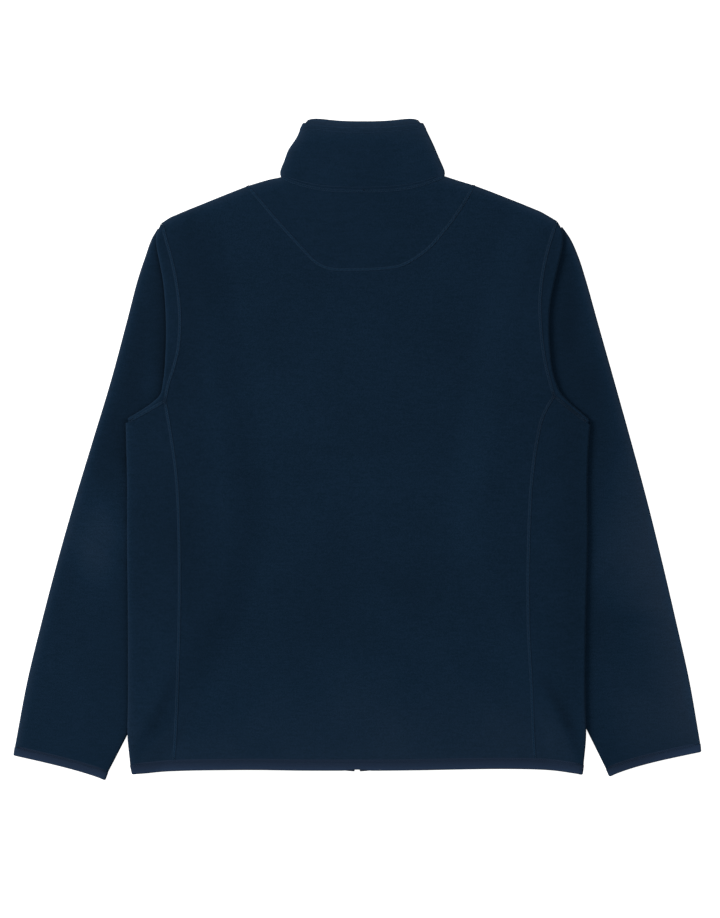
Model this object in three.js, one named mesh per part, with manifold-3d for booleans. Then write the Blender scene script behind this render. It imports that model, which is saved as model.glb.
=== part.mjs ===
// Fleece zip jacket, laid flat on its front, so that its back shows.
// Millimetres. X runs across the garment, Y up it towards the collar, Z up from the surface it lies on.
// Each piece is a wall of cloth built from rows of points: a middle surface with half the cloth on each side.
import * as THREE from 'three';
import { mergeVertices } from 'three/addons/utils/BufferGeometryUtils.js';
import Module from 'manifold-3d';

const wasm = await Module();
wasm.setup();

// Driving dimensions
const CLOTH = 2.0; // thickness of the fleece
const BAND = 2.8; // thickness of a bound or turned edge
const SEAM_GAP = 0.3; // between two pieces that are sewn together
const FOLD_RADIUS = 1.8; // middle of the cloth where the body folds from back to front
const SLEEVE_RADIUS = 1.4; // the same where a sleeve folds
const SLEEVE_LIFT = 5.4; // how high the body lies where a sleeve is under it
const DRAPE = { start: 12, width: 52 }; // where beside a sleeve the body comes down, and over what width
const HEM_BINDING = 11.5; // height of the hem binding
const BINDING_LIFT = 0.8; // a panel's rise beside a binding that lies on the surface
const COLLAR_BAND = 0.88; // share of the collar's height where its turned, topstitched top starts

// Zip
const CHAIN = { half: 3, thickness: 1.7 }; // closed teeth, between the two fronts
const TAPE = { inner: 1.9, outer: 15, thickness: 0.6, low: 2.5 }; // low is above the front's underside
const ZIP_BOTTOM = -384;
const ZIP_TOP = 330;
const BOX = { width: 5.4, length: 9, thickness: 2.2, low: 0.15 };
const SLIDER = {
  y: 318, width: 10, length: 12, corner: 3, plate: 1.1, outerGap: 0.7, innerGap: 0.3,
  post: { width: 2.6, length: 3, y: 3.5 },
  arch: { width: 2, low: 0.1, thickness: 0.6, from: -3.8, to: 2.4, foot: 1 },
};
const SLIDER_LIFT = { front: 3.8, back: 1.5, spread: 44, backSpread: 30 }; // the cloth's rise over the slider
const TAB = {
  pivotY: 0.5, pivotZ: 1.5, bar: 0.5, width: 5.6, thickness: 1.0, length: 27,
  window: { width: 2.6, from: 0.5, to: 4.7 }, step: { from: 6, to: 8.5, drop: 0.75 },
};

// The photographed outline, in real sizes. x is the distance from the middle line.
const SIDES = {
  left: {
    sign: -1,
    // side seam of the back, from the hem up to the armhole
    sideSeam: [
      { x: 220, y: -376 }, { x: 218, y: -343 }, { x: 216, y: -301 }, { x: 213, y: -205 },
      { x: 213, y: -109 }, { x: 216, y: -37 }, { x: 222, y: 11 }, { x: 230, y: 58 },
    ],
    // folded edge of the body, from the hem up to the underarm
    bodyEdge: [
      { x: 272, y: -376 }, { x: 275, y: -343 }, { x: 274.5, y: -301 }, { x: 274.5, y: -205 },
      { x: 275.5, y: -109 }, { x: 275.5, y: -37 }, { x: 276.5, y: 8 }, { x: 277, y: 31 },
    ],
    // armhole seam, from the top of the side seam to the shoulder tip
    armSeam: [
      { x: 230, y: 58 }, { x: 226.5, y: 76 }, { x: 219, y: 100 }, { x: 214, y: 122 },
      { x: 212, y: 152 }, { x: 213.5, y: 179 }, { x: 218, y: 209 }, { x: 224, y: 235 },
      { x: 229, y: 252 }, { x: 232.6, y: 267.2 },
    ],
    // rolled edge of the sleeve head, from the underarm to the shoulder tip
    armEdge: [
      { x: 277, y: 36 }, { x: 260, y: 46 }, { x: 246, y: 55.5 }, { x: 235.5, y: 66 },
      { x: 231.8, y: 83 }, { x: 229.7, y: 109 }, { x: 228.8, y: 140 }, { x: 229.7, y: 171 },
      { x: 232.4, y: 201 }, { x: 236.6, y: 224 }, { x: 240.2, y: 243 }, { x: 240.8, y: 256 },
      { x: 234.8, y: 270.5 },
    ],
    shoulder: [
      { x: 234.8, y: 270.5 }, { x: 224, y: 277.7 }, { x: 200, y: 288.3 }, { x: 176, y: 298.2 },
      { x: 152, y: 307.8 }, { x: 131.6, y: 315.8 },
    ],
    neckSide: [{ x: 131.6, y: 315.8 }, { x: 116, y: 320.6 }, { x: 104, y: 323.9 }, { x: 91.6, y: 326.3 }],
    // outer fold of the sleeve, from the cuff to the shoulder tip
    sleeveOuter: [
      { x: 412, y: -366.6 }, { x: 410.5, y: -356.6 }, { x: 395.5, y: -277 }, { x: 378, y: -205 },
      { x: 359.2, y: -133 }, { x: 338.8, y: -61 }, { x: 317, y: 11 }, { x: 295.2, y: 83 },
      { x: 275.9, y: 155 }, { x: 263.4, y: 203 }, { x: 254, y: 231.5 }, { x: 246.2, y: 253 },
      { x: 239, y: 265 },
    ],
    // inner fold of the sleeve, seen at the cuff and then hidden under the body
    sleeveInner: [
      { x: 302.2, y: -396.3 }, { x: 298.7, y: -387 }, { x: 276, y: -343 }, { x: 254, y: -300 },
      { x: 231.6, y: -257 }, { x: 209.6, y: -214 }, { x: 187.5, y: -171 }, { x: 172, y: -130 },
      { x: 166, y: -80 }, { x: 172, y: -20 }, { x: 184, y: 50 }, { x: 194, y: 120 },
      { x: 204, y: 180 }, { x: 216, y: 224 }, { x: 227, y: 248 }, { x: 233, y: 259 },
    ],
    hemCorner: { x: 269.5, y: -388.9 },
    collarEdge: [
      { x: 91.6, y: 326.3 }, { x: 92.6, y: 331.5 }, { x: 91.2, y: 337 }, { x: 88.1, y: 344.3 },
      { x: 85.6, y: 351.5 }, { x: 82.7, y: 358.7 }, { x: 77.8, y: 366 }, { x: 73, y: 373.1 },
      { x: 70.2, y: 379 }, { x: 68.4, y: 384 }, { x: 64.8, y: 391 },
    ],
  },
  right: {
    sign: 1,
    sideSeam: [
      { x: 213, y: -376 }, { x: 211, y: -343 }, { x: 209.5, y: -301 }, { x: 204.5, y: -205 },
      { x: 205, y: -109 }, { x: 208.5, y: -37 }, { x: 215, y: 11 }, { x: 222, y: 40 },
      { x: 235, y: 64 },
    ],
    bodyEdge: [
      { x: 271.2, y: -376 }, { x: 274, y: -343 }, { x: 273, y: -301 }, { x: 273.5, y: -205 },
      { x: 276, y: -109 }, { x: 275.5, y: -37 }, { x: 277, y: 8 }, { x: 278.7, y: 29 },
    ],
    armSeam: [
      { x: 235, y: 64 }, { x: 230, y: 82 }, { x: 225, y: 103 }, { x: 221, y: 129 },
      { x: 218.4, y: 171 }, { x: 220.3, y: 200 }, { x: 225.5, y: 230 }, { x: 231.4, y: 251 },
      { x: 237.3, y: 269.6 },
    ],
    armEdge: [
      { x: 279, y: 34 }, { x: 268.7, y: 43.5 }, { x: 254.3, y: 56 }, { x: 243, y: 68.5 },
      { x: 237.4, y: 81.5 }, { x: 233.8, y: 93 }, { x: 230.8, y: 117 }, { x: 229.6, y: 146 },
      { x: 230.6, y: 171.5 }, { x: 235.8, y: 200 }, { x: 243, y: 230 }, { x: 246.2, y: 247 },
      { x: 246, y: 260 }, { x: 239.5, y: 273 },
    ],
    shoulder: [
      { x: 239.5, y: 273 }, { x: 220, y: 284.7 }, { x: 196, y: 295 }, { x: 172, y: 304.5 },
      { x: 160, y: 309.2 }, { x: 140, y: 316.6 },
    ],
    neckSide: [{ x: 140, y: 316.6 }, { x: 124, y: 321.4 }, { x: 114, y: 324.6 }, { x: 104.6, y: 327.5 }],
    sleeveOuter: [
      { x: 412.2, y: -362.4 }, { x: 411.3, y: -352.6 }, { x: 398.2, y: -277 }, { x: 382.1, y: -205 },
      { x: 365.3, y: -133 }, { x: 347.5, y: -61 }, { x: 328.1, y: 11 }, { x: 308, y: 83 },
      { x: 287.7, y: 155 }, { x: 274.3, y: 203 }, { x: 265.1, y: 231.5 }, { x: 255.3, y: 253 },
      { x: 245.5, y: 267 },
    ],
    sleeveInner: [
      { x: 302.3, y: -392 }, { x: 298.2, y: -383 }, { x: 275.5, y: -337 }, { x: 253.6, y: -294 },
      { x: 231.6, y: -251 }, { x: 209.6, y: -208 }, { x: 188, y: -165 }, { x: 172, y: -124 },
      { x: 167, y: -76 }, { x: 174, y: -18 }, { x: 186, y: 50 }, { x: 198, y: 120 },
      { x: 209, y: 180 }, { x: 221, y: 224 }, { x: 232, y: 248 }, { x: 238, y: 260 },
    ],
    hemCorner: { x: 269.7, y: -389.2 },
    collarEdge: [
      { x: 104.6, y: 327.5 }, { x: 105.2, y: 331.5 }, { x: 103.8, y: 336.5 }, { x: 100.4, y: 344.3 },
      { x: 96.2, y: 353.9 }, { x: 92.2, y: 363.5 }, { x: 87.6, y: 373.1 }, { x: 83.8, y: 381 },
      { x: 78.6, y: 391 },
    ],
  },
};

// Half-moon seam of the yoke, from the left shoulder to the right
const YOKE_SEAM = [
  { x: -131.6, y: 315.8 }, { x: -97, y: 275 }, { x: -62, y: 236.4 }, { x: -50, y: 224.5 },
  { x: -33, y: 216.5 }, { x: 0, y: 215.6 }, { x: 34, y: 217 }, { x: 54, y: 221 }, { x: 83, y: 239 },
  { x: 107, y: 266 }, { x: 125, y: 291 }, { x: 140, y: 316.6 },
];
const NECK_DIP = { back: 18, front: 74, power: 2.7 }; // how far the neckline dips below the neck points
const COLLAR_TOP = { rise: 11.2, riseFrom: 0.5, dip: 9.2, frontDip: 61 }; // shape of the collar's top edge
const CUFF_BOW = { left: 2.1, right: 2.9, power: 0.7, reach: 0.12 }; // how far a cuff's edge bows upwards

// Lower outline of the hem; beside the zip the fronts drop a little below it and the back rises
const HEM_ROWS = [
  { x: -269.5, y: -388.9 }, { x: -252, y: -387.8 }, { x: -232, y: -386.1 }, { x: -205, y: -385 },
  { x: -165, y: -384.4 }, { x: -120, y: -384.2 }, { x: -68, y: -384.9 }, { x: -20, y: -385 },
  { x: 20, y: -385 }, { x: 72, y: -384.5 }, { x: 128, y: -383.4 },
  { x: 172, y: -382.9 }, { x: 215, y: -383.5 }, { x: 238, y: -385 }, { x: 258, y: -387.6 },
  { x: 269.7, y: -389.2 },
];
const HEM_NOTCH = { drop: 1.2, rise: 1.4, width: 20 };

// How many steps each stretch is cut into
const STEPS = {
  sideSeam: 11, armSeam: 10, shoulder: 5, yoke: 13, neckSide: 4, sideLimb: 3,
  fold: 5, sleeve: 20, sleeveLimb: 4, collarFront: 7, collarRows: 5, hemFront: 9, zip: 16,
};
const ROLL_STEPS = [0, 0.94, 1.88, 2.83]; // places round a quarter fold, from the edge
const ARM_END = 0.997; // where the sleeve head stops, just short of the shoulder

// Small helpers
const lerp = (a, b, t) => a + (b - a) * t;
const smooth = (t) => {
  const c = Math.min(1, Math.max(0, t));
  return c * c * (3 - 2 * c);
};
const range = (n) => Array.from({ length: n + 1 }, (_, i) => i / n);
const mix = (a, b, t) => new THREE.Vector3().lerpVectors(a, b, t);

/** A smooth plan curve through rows of x and y; sign mirrors it to its own side. */
function planCurve(rows, sign = 1) {
  const points = rows.map((row) => new THREE.Vector3(sign * row.x, row.y, 0));
  const curve = new THREE.CatmullRomCurve3(points, false, 'centripetal');
  curve.arcLengthDivisions = 400;
  return curve;
}

/** Points of a curve at the given shares of its length. */
const pointsAt = (curve, shares) => shares.map((share) => curve.getPointAt(Math.min(1, share)));

const curves = {};
for (const [name, side] of Object.entries(SIDES)) {
  const own = {};
  for (const key of ['sideSeam', 'bodyEdge', 'armSeam', 'armEdge', 'shoulder', 'neckSide', 'collarEdge']) {
    own[key] = planCurve(side[key], side.sign);
  }
  own.sleeveOuter = planCurve(side.sleeveOuter.slice(1), side.sign);
  own.sleeveInner = planCurve(side.sleeveInner.slice(1), side.sign);
  own.sleeveOutline = [
    ...side.sleeveOuter, ...[...side.sleeveInner].reverse(),
  ].map((row) => new THREE.Vector2(side.sign * row.x, row.y));
  own.shoulderLine = [...side.shoulder, ...side.neckSide.slice(1)]
    .map((row) => new THREE.Vector2(side.sign * row.x, row.y));
  curves[name] = own;
}
const yokeSeam = planCurve(YOKE_SEAM);
const hemPoints = planCurve(HEM_ROWS).getPoints(160);

// Heights

/** Distance from a point to a closed or open chain of points, and whether a closed one holds it. */
function chainDistance(x, y, chain, closed) {
  let nearest = Infinity;
  let inside = false;
  const last = closed ? chain.length : chain.length - 1;
  for (let i = 0; i < last; i += 1) {
    const a = chain[i];
    const b = chain[(i + 1) % chain.length];
    const dx = b.x - a.x;
    const dy = b.y - a.y;
    const t = Math.min(1, Math.max(0, ((x - a.x) * dx + (y - a.y) * dy) / (dx * dx + dy * dy)));
    nearest = Math.min(nearest, Math.hypot(x - a.x - t * dx, y - a.y - t * dy));
    if ((a.y > y) !== (b.y > y) && x < a.x + ((y - a.y) * dx) / dy) inside = !inside;
  }
  return { nearest, inside };
}

/** How high the body lies on the sleeve under it. */
function sleeveSupport(x, y) {
  const outline = x < 0 ? curves.left.sleeveOutline : curves.right.sleeveOutline;
  const { nearest, inside } = chainDistance(x, y, outline, true);
  if (inside) return SLEEVE_LIFT;
  return SLEEVE_LIFT * (1 - smooth((nearest - DRAPE.start) / DRAPE.width));
}

const bump = (x, y, spread) => Math.exp(-(x * x + (y - SLIDER.y) ** 2) / (2 * spread * spread));

/** Height of the lower outline of the hem at x; layer is 1 at the front's edge and -1 at the back's. */
function hemLine(x, layer = 0) {
  const most = layer > 0 ? HEM_NOTCH.drop : HEM_NOTCH.rise;
  const drop = layer * most * (1 - smooth(Math.abs(x) / HEM_NOTCH.width));
  const last = hemPoints.length - 1;
  if (x <= hemPoints[0].x) return hemPoints[0].y - drop;
  if (x >= hemPoints[last].x) return hemPoints[last].y - drop;
  const next = hemPoints.findIndex((p) => p.x > x);
  const [a, b] = [hemPoints[next - 1], hemPoints[next]];
  return lerp(a.y, b.y, (x - a.x) / (b.x - a.x)) - drop;
}

/** Middle of the lower cloth, which lies on the surface or on a sleeve. */
function frontHeight(x, y) {
  const besideHem = 1 - smooth((y - hemLine(x) - HEM_BINDING) / 30);
  const besideBinding = (BINDING_LIFT / 2) * Math.max(besideHem, smooth((y - 290) / 30));
  const zip = SLIDER_LIFT.front * bump(x, y, SLIDER_LIFT.spread);
  return CLOTH / 2 + Math.max(sleeveSupport(x, y), besideBinding) + zip;
}

/** Middle of the upper cloth. */
function backHeight(x, y) {
  return frontHeight(x, y) + 2 * FOLD_RADIUS + SLIDER_LIFT.back * bump(x, y, SLIDER_LIFT.backSpread);
}

/** Nearest place on a side's shoulder outline: how far in the point lies and which way is out. */
function shoulderInset(x, y) {
  const chain = x < 0 ? curves.left.shoulderLine : curves.right.shoulderLine;
  let best = { inset: Infinity, outX: 0, outY: 0 };
  for (let i = 0; i < chain.length - 1; i += 1) {
    const a = chain[i];
    const b = chain[i + 1];
    const dx = b.x - a.x;
    const dy = b.y - a.y;
    const length = Math.hypot(dx, dy);
    const along = ((x - a.x) * dx + (y - a.y) * dy) / length;
    if (along < -0.5 || along > length + 0.5) continue;
    const outX = (x < 0 ? -dy : dy) / length;
    const outY = Math.abs(dx) / length;
    const inset = -((x - a.x) * outX + (y - a.y) * outY);
    if (Math.abs(inset) < Math.abs(best.inset)) best = { inset, outX, outY };
  }
  return best;
}

/** Puts a plan point of the back (1) or the front (-1) in place, rolled over at the shoulder. */
function layPanel(point, layer) {
  const { x, y } = point;
  const lower = frontHeight(x, y);
  const upper = backHeight(x, y);
  const radius = (upper - lower) / 2;
  const { inset, outX, outY } = shoulderInset(x, y);
  const arc = (Math.PI / 2) * radius;
  if (inset >= arc) {
    const height = layer > 0 ? backHeight : frontHeight;
    const laid = new THREE.Vector3(x, y, height(x, y));
    const slopeX = (height(x + 1, y) - height(x - 1, y)) / 2;
    const slopeY = (height(x, y + 1) - height(x, y - 1)) / 2;
    laid.out = new THREE.Vector3(-slopeX, -slopeY, 1).normalize().multiplyScalar(layer);
    return laid;
  }
  const turn = Math.max(0, inset) / radius;
  const target = CLOTH / 2 + radius * (1 - Math.cos(turn));
  const move = inset - target;
  const middle = (upper + lower) / 2;
  const height = middle + layer * radius * Math.sin(turn);
  const rolled = new THREE.Vector3(x + outX * move, y + outY * move, height);
  rolled.out = new THREE.Vector3(outX * Math.cos(turn), outY * Math.cos(turn), layer * Math.sin(turn));
  return rolled;
}

// Walls

/** Slope of a row of points at place i, from the points beside it. */
function slopeAt(points, i) {
  const last = points.length - 1;
  const middle = Math.min(Math.max(i, 1), Math.max(1, last - 1));
  if (last < 2) return new THREE.Vector3().subVectors(points[last], points[0]);
  const before = points[middle].distanceTo(points[middle - 1]);
  const after = points[middle + 1].distanceTo(points[middle]);
  const into = new THREE.Vector3().subVectors(points[middle], points[middle - 1]).divideScalar(before);
  const out = new THREE.Vector3().subVectors(points[middle + 1], points[middle]).divideScalar(after);
  const bend = new THREE.Vector3().subVectors(out, into).divideScalar(before + after);
  const slope = into.clone().addScaledVector(bend, before);
  if (i < middle) slope.addScaledVector(bend, -2 * before);
  if (i > middle) slope.addScaledVector(bend, 2 * after);
  return slope;
}

/** Draws the chosen edges of a grid back by half a seam gap. */
function openSeams(grid, edges) {
  const rows = grid.length - 1;
  const columns = grid[0].length - 1;
  const moves = [];
  const pull = (row, column, alongPoints, place, nextRow, nextColumn) => {
    const along = slopeAt(alongPoints, place).normalize();
    const inward = new THREE.Vector3().subVectors(grid[nextRow][nextColumn], grid[row][column]);
    inward.addScaledVector(along, -inward.dot(along)).normalize().multiplyScalar(SEAM_GAP / 2);
    moves.push({ row, column, inward });
  };
  const column = (c) => grid.map((line) => line[c]);
  for (let c = 0; c <= columns; c += 1) {
    if (edges.includes('bottom')) pull(0, c, grid[0], c, 1, c);
    if (edges.includes('top')) pull(rows, c, grid[rows], c, rows - 1, c);
  }
  for (let r = 0; r <= rows; r += 1) {
    if (edges.includes('start')) pull(r, 0, column(0), r, r, 1);
    if (edges.includes('end')) pull(r, columns, column(columns), r, r, columns - 1);
  }
  for (const move of moves) grid[move.row][move.column].add(move.inward);
  return grid;
}

/** Makes an indexed geometry whose faces point out. */
function closedGeometry(points, faces) {
  const geometry = new THREE.BufferGeometry();
  const positions = new Float32Array(points.length * 3);
  points.forEach((p, i) => p.toArray(positions, i * 3));
  let volume = 0;
  for (const [a, b, c] of faces) {
    volume += points[a].dot(new THREE.Vector3().crossVectors(points[b], points[c]));
  }
  const order = volume > 0 ? faces : faces.map(([a, b, c]) => [a, c, b]);
  geometry.setAttribute('position', new THREE.BufferAttribute(positions, 3));
  geometry.setIndex(order.flat());
  return geometry;
}

/** A wall of cloth on a grid of middle points; round joins the last column to the first. */
function clothWall(grid, { round = false, thickness = () => CLOTH } = {}) {
  const rows = grid.length;
  const columns = grid[0].length;
  const points = [];
  const offsets = [];
  for (let r = 0; r < rows; r += 1) {
    for (let c = 0; c < columns; c += 1) {
      if (grid[r][c].out) {
        offsets.push(grid[r][c].out);
        continue;
      }
      const column = grid.map((line) => line[c]);
      let across;
      if (round) {
        const before = grid[r][(c + columns - 1) % columns];
        const after = grid[r][(c + 1) % columns];
        across = slopeAt([before, grid[r][c], after], 1);
      } else {
        across = slopeAt(grid[r], c);
      }
      offsets.push(across.cross(slopeAt(column, r)).normalize());
    }
  }
  for (const side of [0.5, -0.5]) {
    for (let r = 0; r < rows; r += 1) {
      for (let c = 0; c < columns; c += 1) {
        const place = r * columns + c;
        points.push(grid[r][c].clone().addScaledVector(offsets[place], side * thickness(r, c)));
      }
    }
  }
  const faces = [];
  const quad = (a, b, c, d) => faces.push([a, b, c], [a, c, d]);
  const at = (side, r, c) => side * rows * columns + r * columns + (c % columns);
  const lastColumn = round ? columns : columns - 1;
  for (let r = 0; r < rows - 1; r += 1) {
    for (let c = 0; c < lastColumn; c += 1) {
      quad(at(0, r, c), at(0, r, c + 1), at(0, r + 1, c + 1), at(0, r + 1, c));
      quad(at(1, r, c), at(1, r + 1, c), at(1, r + 1, c + 1), at(1, r, c + 1));
    }
  }
  for (let c = 0; c < lastColumn; c += 1) {
    quad(at(0, 0, c), at(1, 0, c), at(1, 0, c + 1), at(0, 0, c + 1));
    quad(at(0, rows - 1, c), at(0, rows - 1, c + 1), at(1, rows - 1, c + 1), at(1, rows - 1, c));
  }
  if (!round) {
    for (let r = 0; r < rows - 1; r += 1) {
      quad(at(0, r, 0), at(0, r + 1, 0), at(1, r + 1, 0), at(1, r, 0));
      quad(at(0, r, lastColumn), at(1, r, lastColumn), at(1, r + 1, lastColumn), at(0, r + 1, lastColumn));
    }
  }
  return closedGeometry(points, faces);
}

/** Fills four edges with a plan grid: bottom and top run across, start and end run up. */
function coonsGrid(bottom, top, start, end) {
  const rows = start.length - 1;
  const columns = bottom.length - 1;
  const shares = (points) => {
    const sums = [0];
    for (let i = 1; i < points.length; i += 1) sums.push(sums[i - 1] + points[i].distanceTo(points[i - 1]));
    return sums.map((sum) => sum / sums[sums.length - 1]);
  };
  const acrossBottom = shares(bottom);
  const acrossTop = shares(top);
  const upStart = shares(start);
  const upEnd = shares(end);
  const grid = [];
  for (let r = 0; r <= rows; r += 1) {
    const line = [];
    for (let c = 0; c <= columns; c += 1) {
      const roughUp = lerp(upStart[r], upEnd[r], c / columns);
      const u = lerp(acrossBottom[c], acrossTop[c], roughUp);
      const v = lerp(upStart[r], upEnd[r], u);
      const point = mix(bottom[c], top[c], v).add(mix(start[r], end[r], u));
      const corners = mix(mix(bottom[0], bottom[columns], u), mix(top[0], top[columns], u), v);
      line.push(point.sub(corners));
    }
    grid.push(line);
  }
  return grid;
}

/** Middle points from a seam on the back, round a folded edge and on to the same seam on the front. */
function foldedPath(seam, edge, limbSteps, trim = (plan) => plan) {
  const toEdge = new THREE.Vector3().subVectors(edge, seam).normalize();
  const radius = FOLD_RADIUS;
  const centre = edge.clone().addScaledVector(toEdge, -(CLOTH / 2 + radius));
  const middle = frontHeight(centre.x, centre.y) + radius;
  const path = [];
  const place = (plan, height) => {
    const { x, y } = trim(plan);
    path.push(new THREE.Vector3(x, y, height));
  };
  for (let i = 0; i < limbSteps; i += 1) {
    const plan = mix(seam, centre, i / limbSteps);
    place(plan, backHeight(plan.x, plan.y));
  }
  for (const share of range(STEPS.fold)) {
    const angle = Math.PI * share;
    const plan = centre.clone().addScaledVector(toEdge, radius * Math.sin(angle));
    place(plan, middle + radius * Math.cos(angle));
  }
  for (let i = 1; i <= limbSteps; i += 1) {
    const plan = mix(centre, seam, i / limbSteps);
    place(plan, frontHeight(plan.x, plan.y));
  }
  return path;
}

// Shared samples of the seams
const sideShares = range(STEPS.sideSeam);
const armShares = range(STEPS.armSeam);
const seamLength = yokeSeam.getLength();
const SLANT = 1.35; // the half-moon meets the shoulder at a slant, so a step across is longer along it
const rollShares = ROLL_STEPS.map((step) => (SLANT * step) / seamLength);
const lastRoll = rollShares[rollShares.length - 1];
const yokeShares = [
  ...rollShares.slice(0, -1),
  ...range(STEPS.yoke).map((share) => lerp(lastRoll, 1 - lastRoll, share)),
  ...rollShares.slice(0, -1).map((share) => 1 - share).reverse(),
];

/** Edge of a panel from the hem up the side seam and the armhole, over the shoulder tip's fold. */
function outerEdge(name) {
  const own = curves[name];
  const seam = pointsAt(own.sideSeam, sideShares);
  const arm = pointsAt(own.armSeam, armShares).slice(1);
  const tip = own.shoulder.getPoint(0);
  const end = arm[arm.length - 1];
  const roll = [...ROLL_STEPS].reverse().map((step) => mix(tip, end, step / tip.distanceTo(end)));
  return [...seam, ...arm, ...roll];
}

const hemTop = (x) => hemLine(x) + HEM_BINDING;
const onHemTop = (x) => new THREE.Vector3(x, hemTop(x), 0);

const onBinding = (plan) => onHemTop(plan.x);

/** The edge with its first point moved onto the top of the hem binding. */
function fromHem(points) {
  const [first, ...others] = points;
  return [onHemTop(first.x), ...others];
}

function backPanel() {
  const left = fromHem(outerEdge('left'));
  const right = fromHem(outerEdge('right'));
  const leftShoulder = pointsAt(curves.left.shoulder, range(STEPS.shoulder));
  const rightShoulder = pointsAt(curves.right.shoulder, range(STEPS.shoulder)).reverse();
  const top = [...leftShoulder, ...pointsAt(yokeSeam, yokeShares).slice(1), ...rightShoulder.slice(1)];
  const wide = top[top.length - 1].x - top[0].x;
  const bottom = top.map((p) => onHemTop(lerp(left[0].x, right[0].x, (p.x - top[0].x) / wide)));
  const plan = coonsGrid(bottom, top, left, right);
  const grid = plan.map((line) => line.map((p) => layPanel(p, 1)));
  return clothWall(openSeams(grid, ['bottom', 'top', 'start', 'end']));
}

const neckLeft = curves.left.collarEdge.getPoint(0);
const neckRight = curves.right.collarEdge.getPoint(0);

/** The neckline at a share of its width: how far it dips says whether it is the back or the front one. */
function neckline(share, dip) {
  const point = mix(neckLeft, neckRight, share);
  point.y -= dip * (1 - Math.abs(2 * share - 1) ** NECK_DIP.power);
  return point;
}

const necklineAt = (x, dip) => neckline((x - neckLeft.x) / (neckRight.x - neckLeft.x), dip);

/** Places across the front of the neck, from the zip to where the collar folds. */
function collarFrontXs(name, edgeX = name === 'left' ? neckLeft.x : neckRight.x) {
  const { sign } = SIDES[name];
  const fold = edgeX - sign * (CLOTH / 2 + FOLD_RADIUS);
  return range(STEPS.collarFront).map((t) => lerp(sign * (CHAIN.half), fold, t));
}

function yoke() {
  const bottom = pointsAt(yokeSeam, yokeShares);
  const top = yokeShares.map((share) => neckline(share, NECK_DIP.back));
  const start = pointsAt(curves.left.neckSide, range(STEPS.neckSide));
  const end = pointsAt(curves.right.neckSide, range(STEPS.neckSide));
  const grid = coonsGrid(bottom, top, start, end).map((line) => line.map((p) => layPanel(p, 1)));
  return clothWall(openSeams(grid, ['bottom', 'top', 'start', 'end']));
}

function sidePanel(name) {
  const own = curves[name];
  const seam = fromHem(pointsAt(own.sideSeam, sideShares));
  const edge = fromHem(pointsAt(own.bodyEdge, sideShares));
  const grid = seam.map((point, i) => foldedPath(point, edge[i], STEPS.sideLimb, i ? undefined : onBinding));
  return clothWall(openSeams(grid, ['bottom', 'top', 'start', 'end']));
}

function frontPanel(name) {
  const side = SIDES[name];
  const outer = fromHem(outerEdge(name));
  const zipX = side.sign * (CHAIN.half);
  const neck = collarFrontXs(name).map((x) => necklineAt(x, NECK_DIP.front));
  neck.push(neckline(name === 'left' ? 0 : 1, 0));
  const straight = outer.length - neck.length;
  const zipEdge = range(straight).map((t) => new THREE.Vector3(zipX, lerp(hemTop(zipX), neck[0].y, t), 0));
  const inner = [...zipEdge, ...neck.slice(1)];
  const shoulderShares = range(STEPS.shoulder);
  const shoulder = pointsAt(curves[name].shoulder, shoulderShares).reverse();
  const neckSide = pointsAt(curves[name].neckSide, range(STEPS.neckSide)).reverse();
  const top = [...neckSide, ...shoulder.slice(1)];
  const bottom = range(top.length - 1).map((t) => onHemTop(lerp(zipX, outer[0].x, t)));
  const grid = coonsGrid(bottom, top, inner, outer).map((line) => line.map((p) => layPanel(p, -1)));
  return clothWall(openSeams(grid, ['bottom', 'top', 'start', 'end']));
}

/** The closed loop of a flattened sleeve between its inner and outer folds. */
function sleeveRing(inner, outer, raise) {
  const across = new THREE.Vector3().subVectors(outer, inner).normalize();
  const radius = SLEEVE_RADIUS;
  const reach = CLOTH / 2 + radius;
  const a = inner.clone().addScaledVector(across, reach);
  const b = outer.clone().addScaledVector(across, -reach);
  const middle = CLOTH / 2 + radius + raise.lower;
  const bowed = (plan, share) => {
    plan.y += raise.bow * Math.sin(Math.PI * share ** CUFF_BOW.power);
    return plan;
  };
  const ring = [];
  for (const share of range(STEPS.sleeveLimb).slice(0, -1)) {
    const plan = bowed(mix(a, b, share), share);
    ring.push(new THREE.Vector3(plan.x, plan.y, middle + radius + raise.upper));
  }
  for (const share of range(STEPS.fold)) {
    const angle = Math.PI * share;
    const plan = b.clone().addScaledVector(across, radius * Math.sin(angle));
    const lifted = raise.upper * (1 - share);
    ring.push(new THREE.Vector3(plan.x, plan.y, middle + radius * Math.cos(angle) + lifted));
  }
  for (const share of range(STEPS.sleeveLimb).slice(1, -1)) {
    const plan = bowed(mix(b, a, share), 1 - share);
    ring.push(new THREE.Vector3(plan.x, plan.y, middle - radius));
  }
  for (const share of range(STEPS.fold).slice(0, -1)) {
    const angle = Math.PI * share;
    const plan = a.clone().addScaledVector(across, -radius * Math.sin(angle));
    ring.push(new THREE.Vector3(plan.x, plan.y, middle - radius * Math.cos(angle) + raise.upper * share));
  }
  return ring;
}

function toManifold(geometry) {
  const bare = geometry.clone();
  bare.deleteAttribute('normal');
  bare.deleteAttribute('uv');
  const merged = mergeVertices(bare, 1e-4);
  const vertProperties = new Float32Array(merged.attributes.position.array);
  const triVerts = new Uint32Array(merged.index.array);
  return new wasm.Manifold(new wasm.Mesh({ numProp: 3, vertProperties, triVerts }));
}

function fromManifold(solid) {
  const mesh = solid.getMesh();
  const geometry = new THREE.BufferGeometry();
  geometry.setAttribute('position', new THREE.BufferAttribute(new Float32Array(mesh.vertProperties), 3));
  geometry.setIndex(Array.from(mesh.triVerts));
  return geometry;
}

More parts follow.
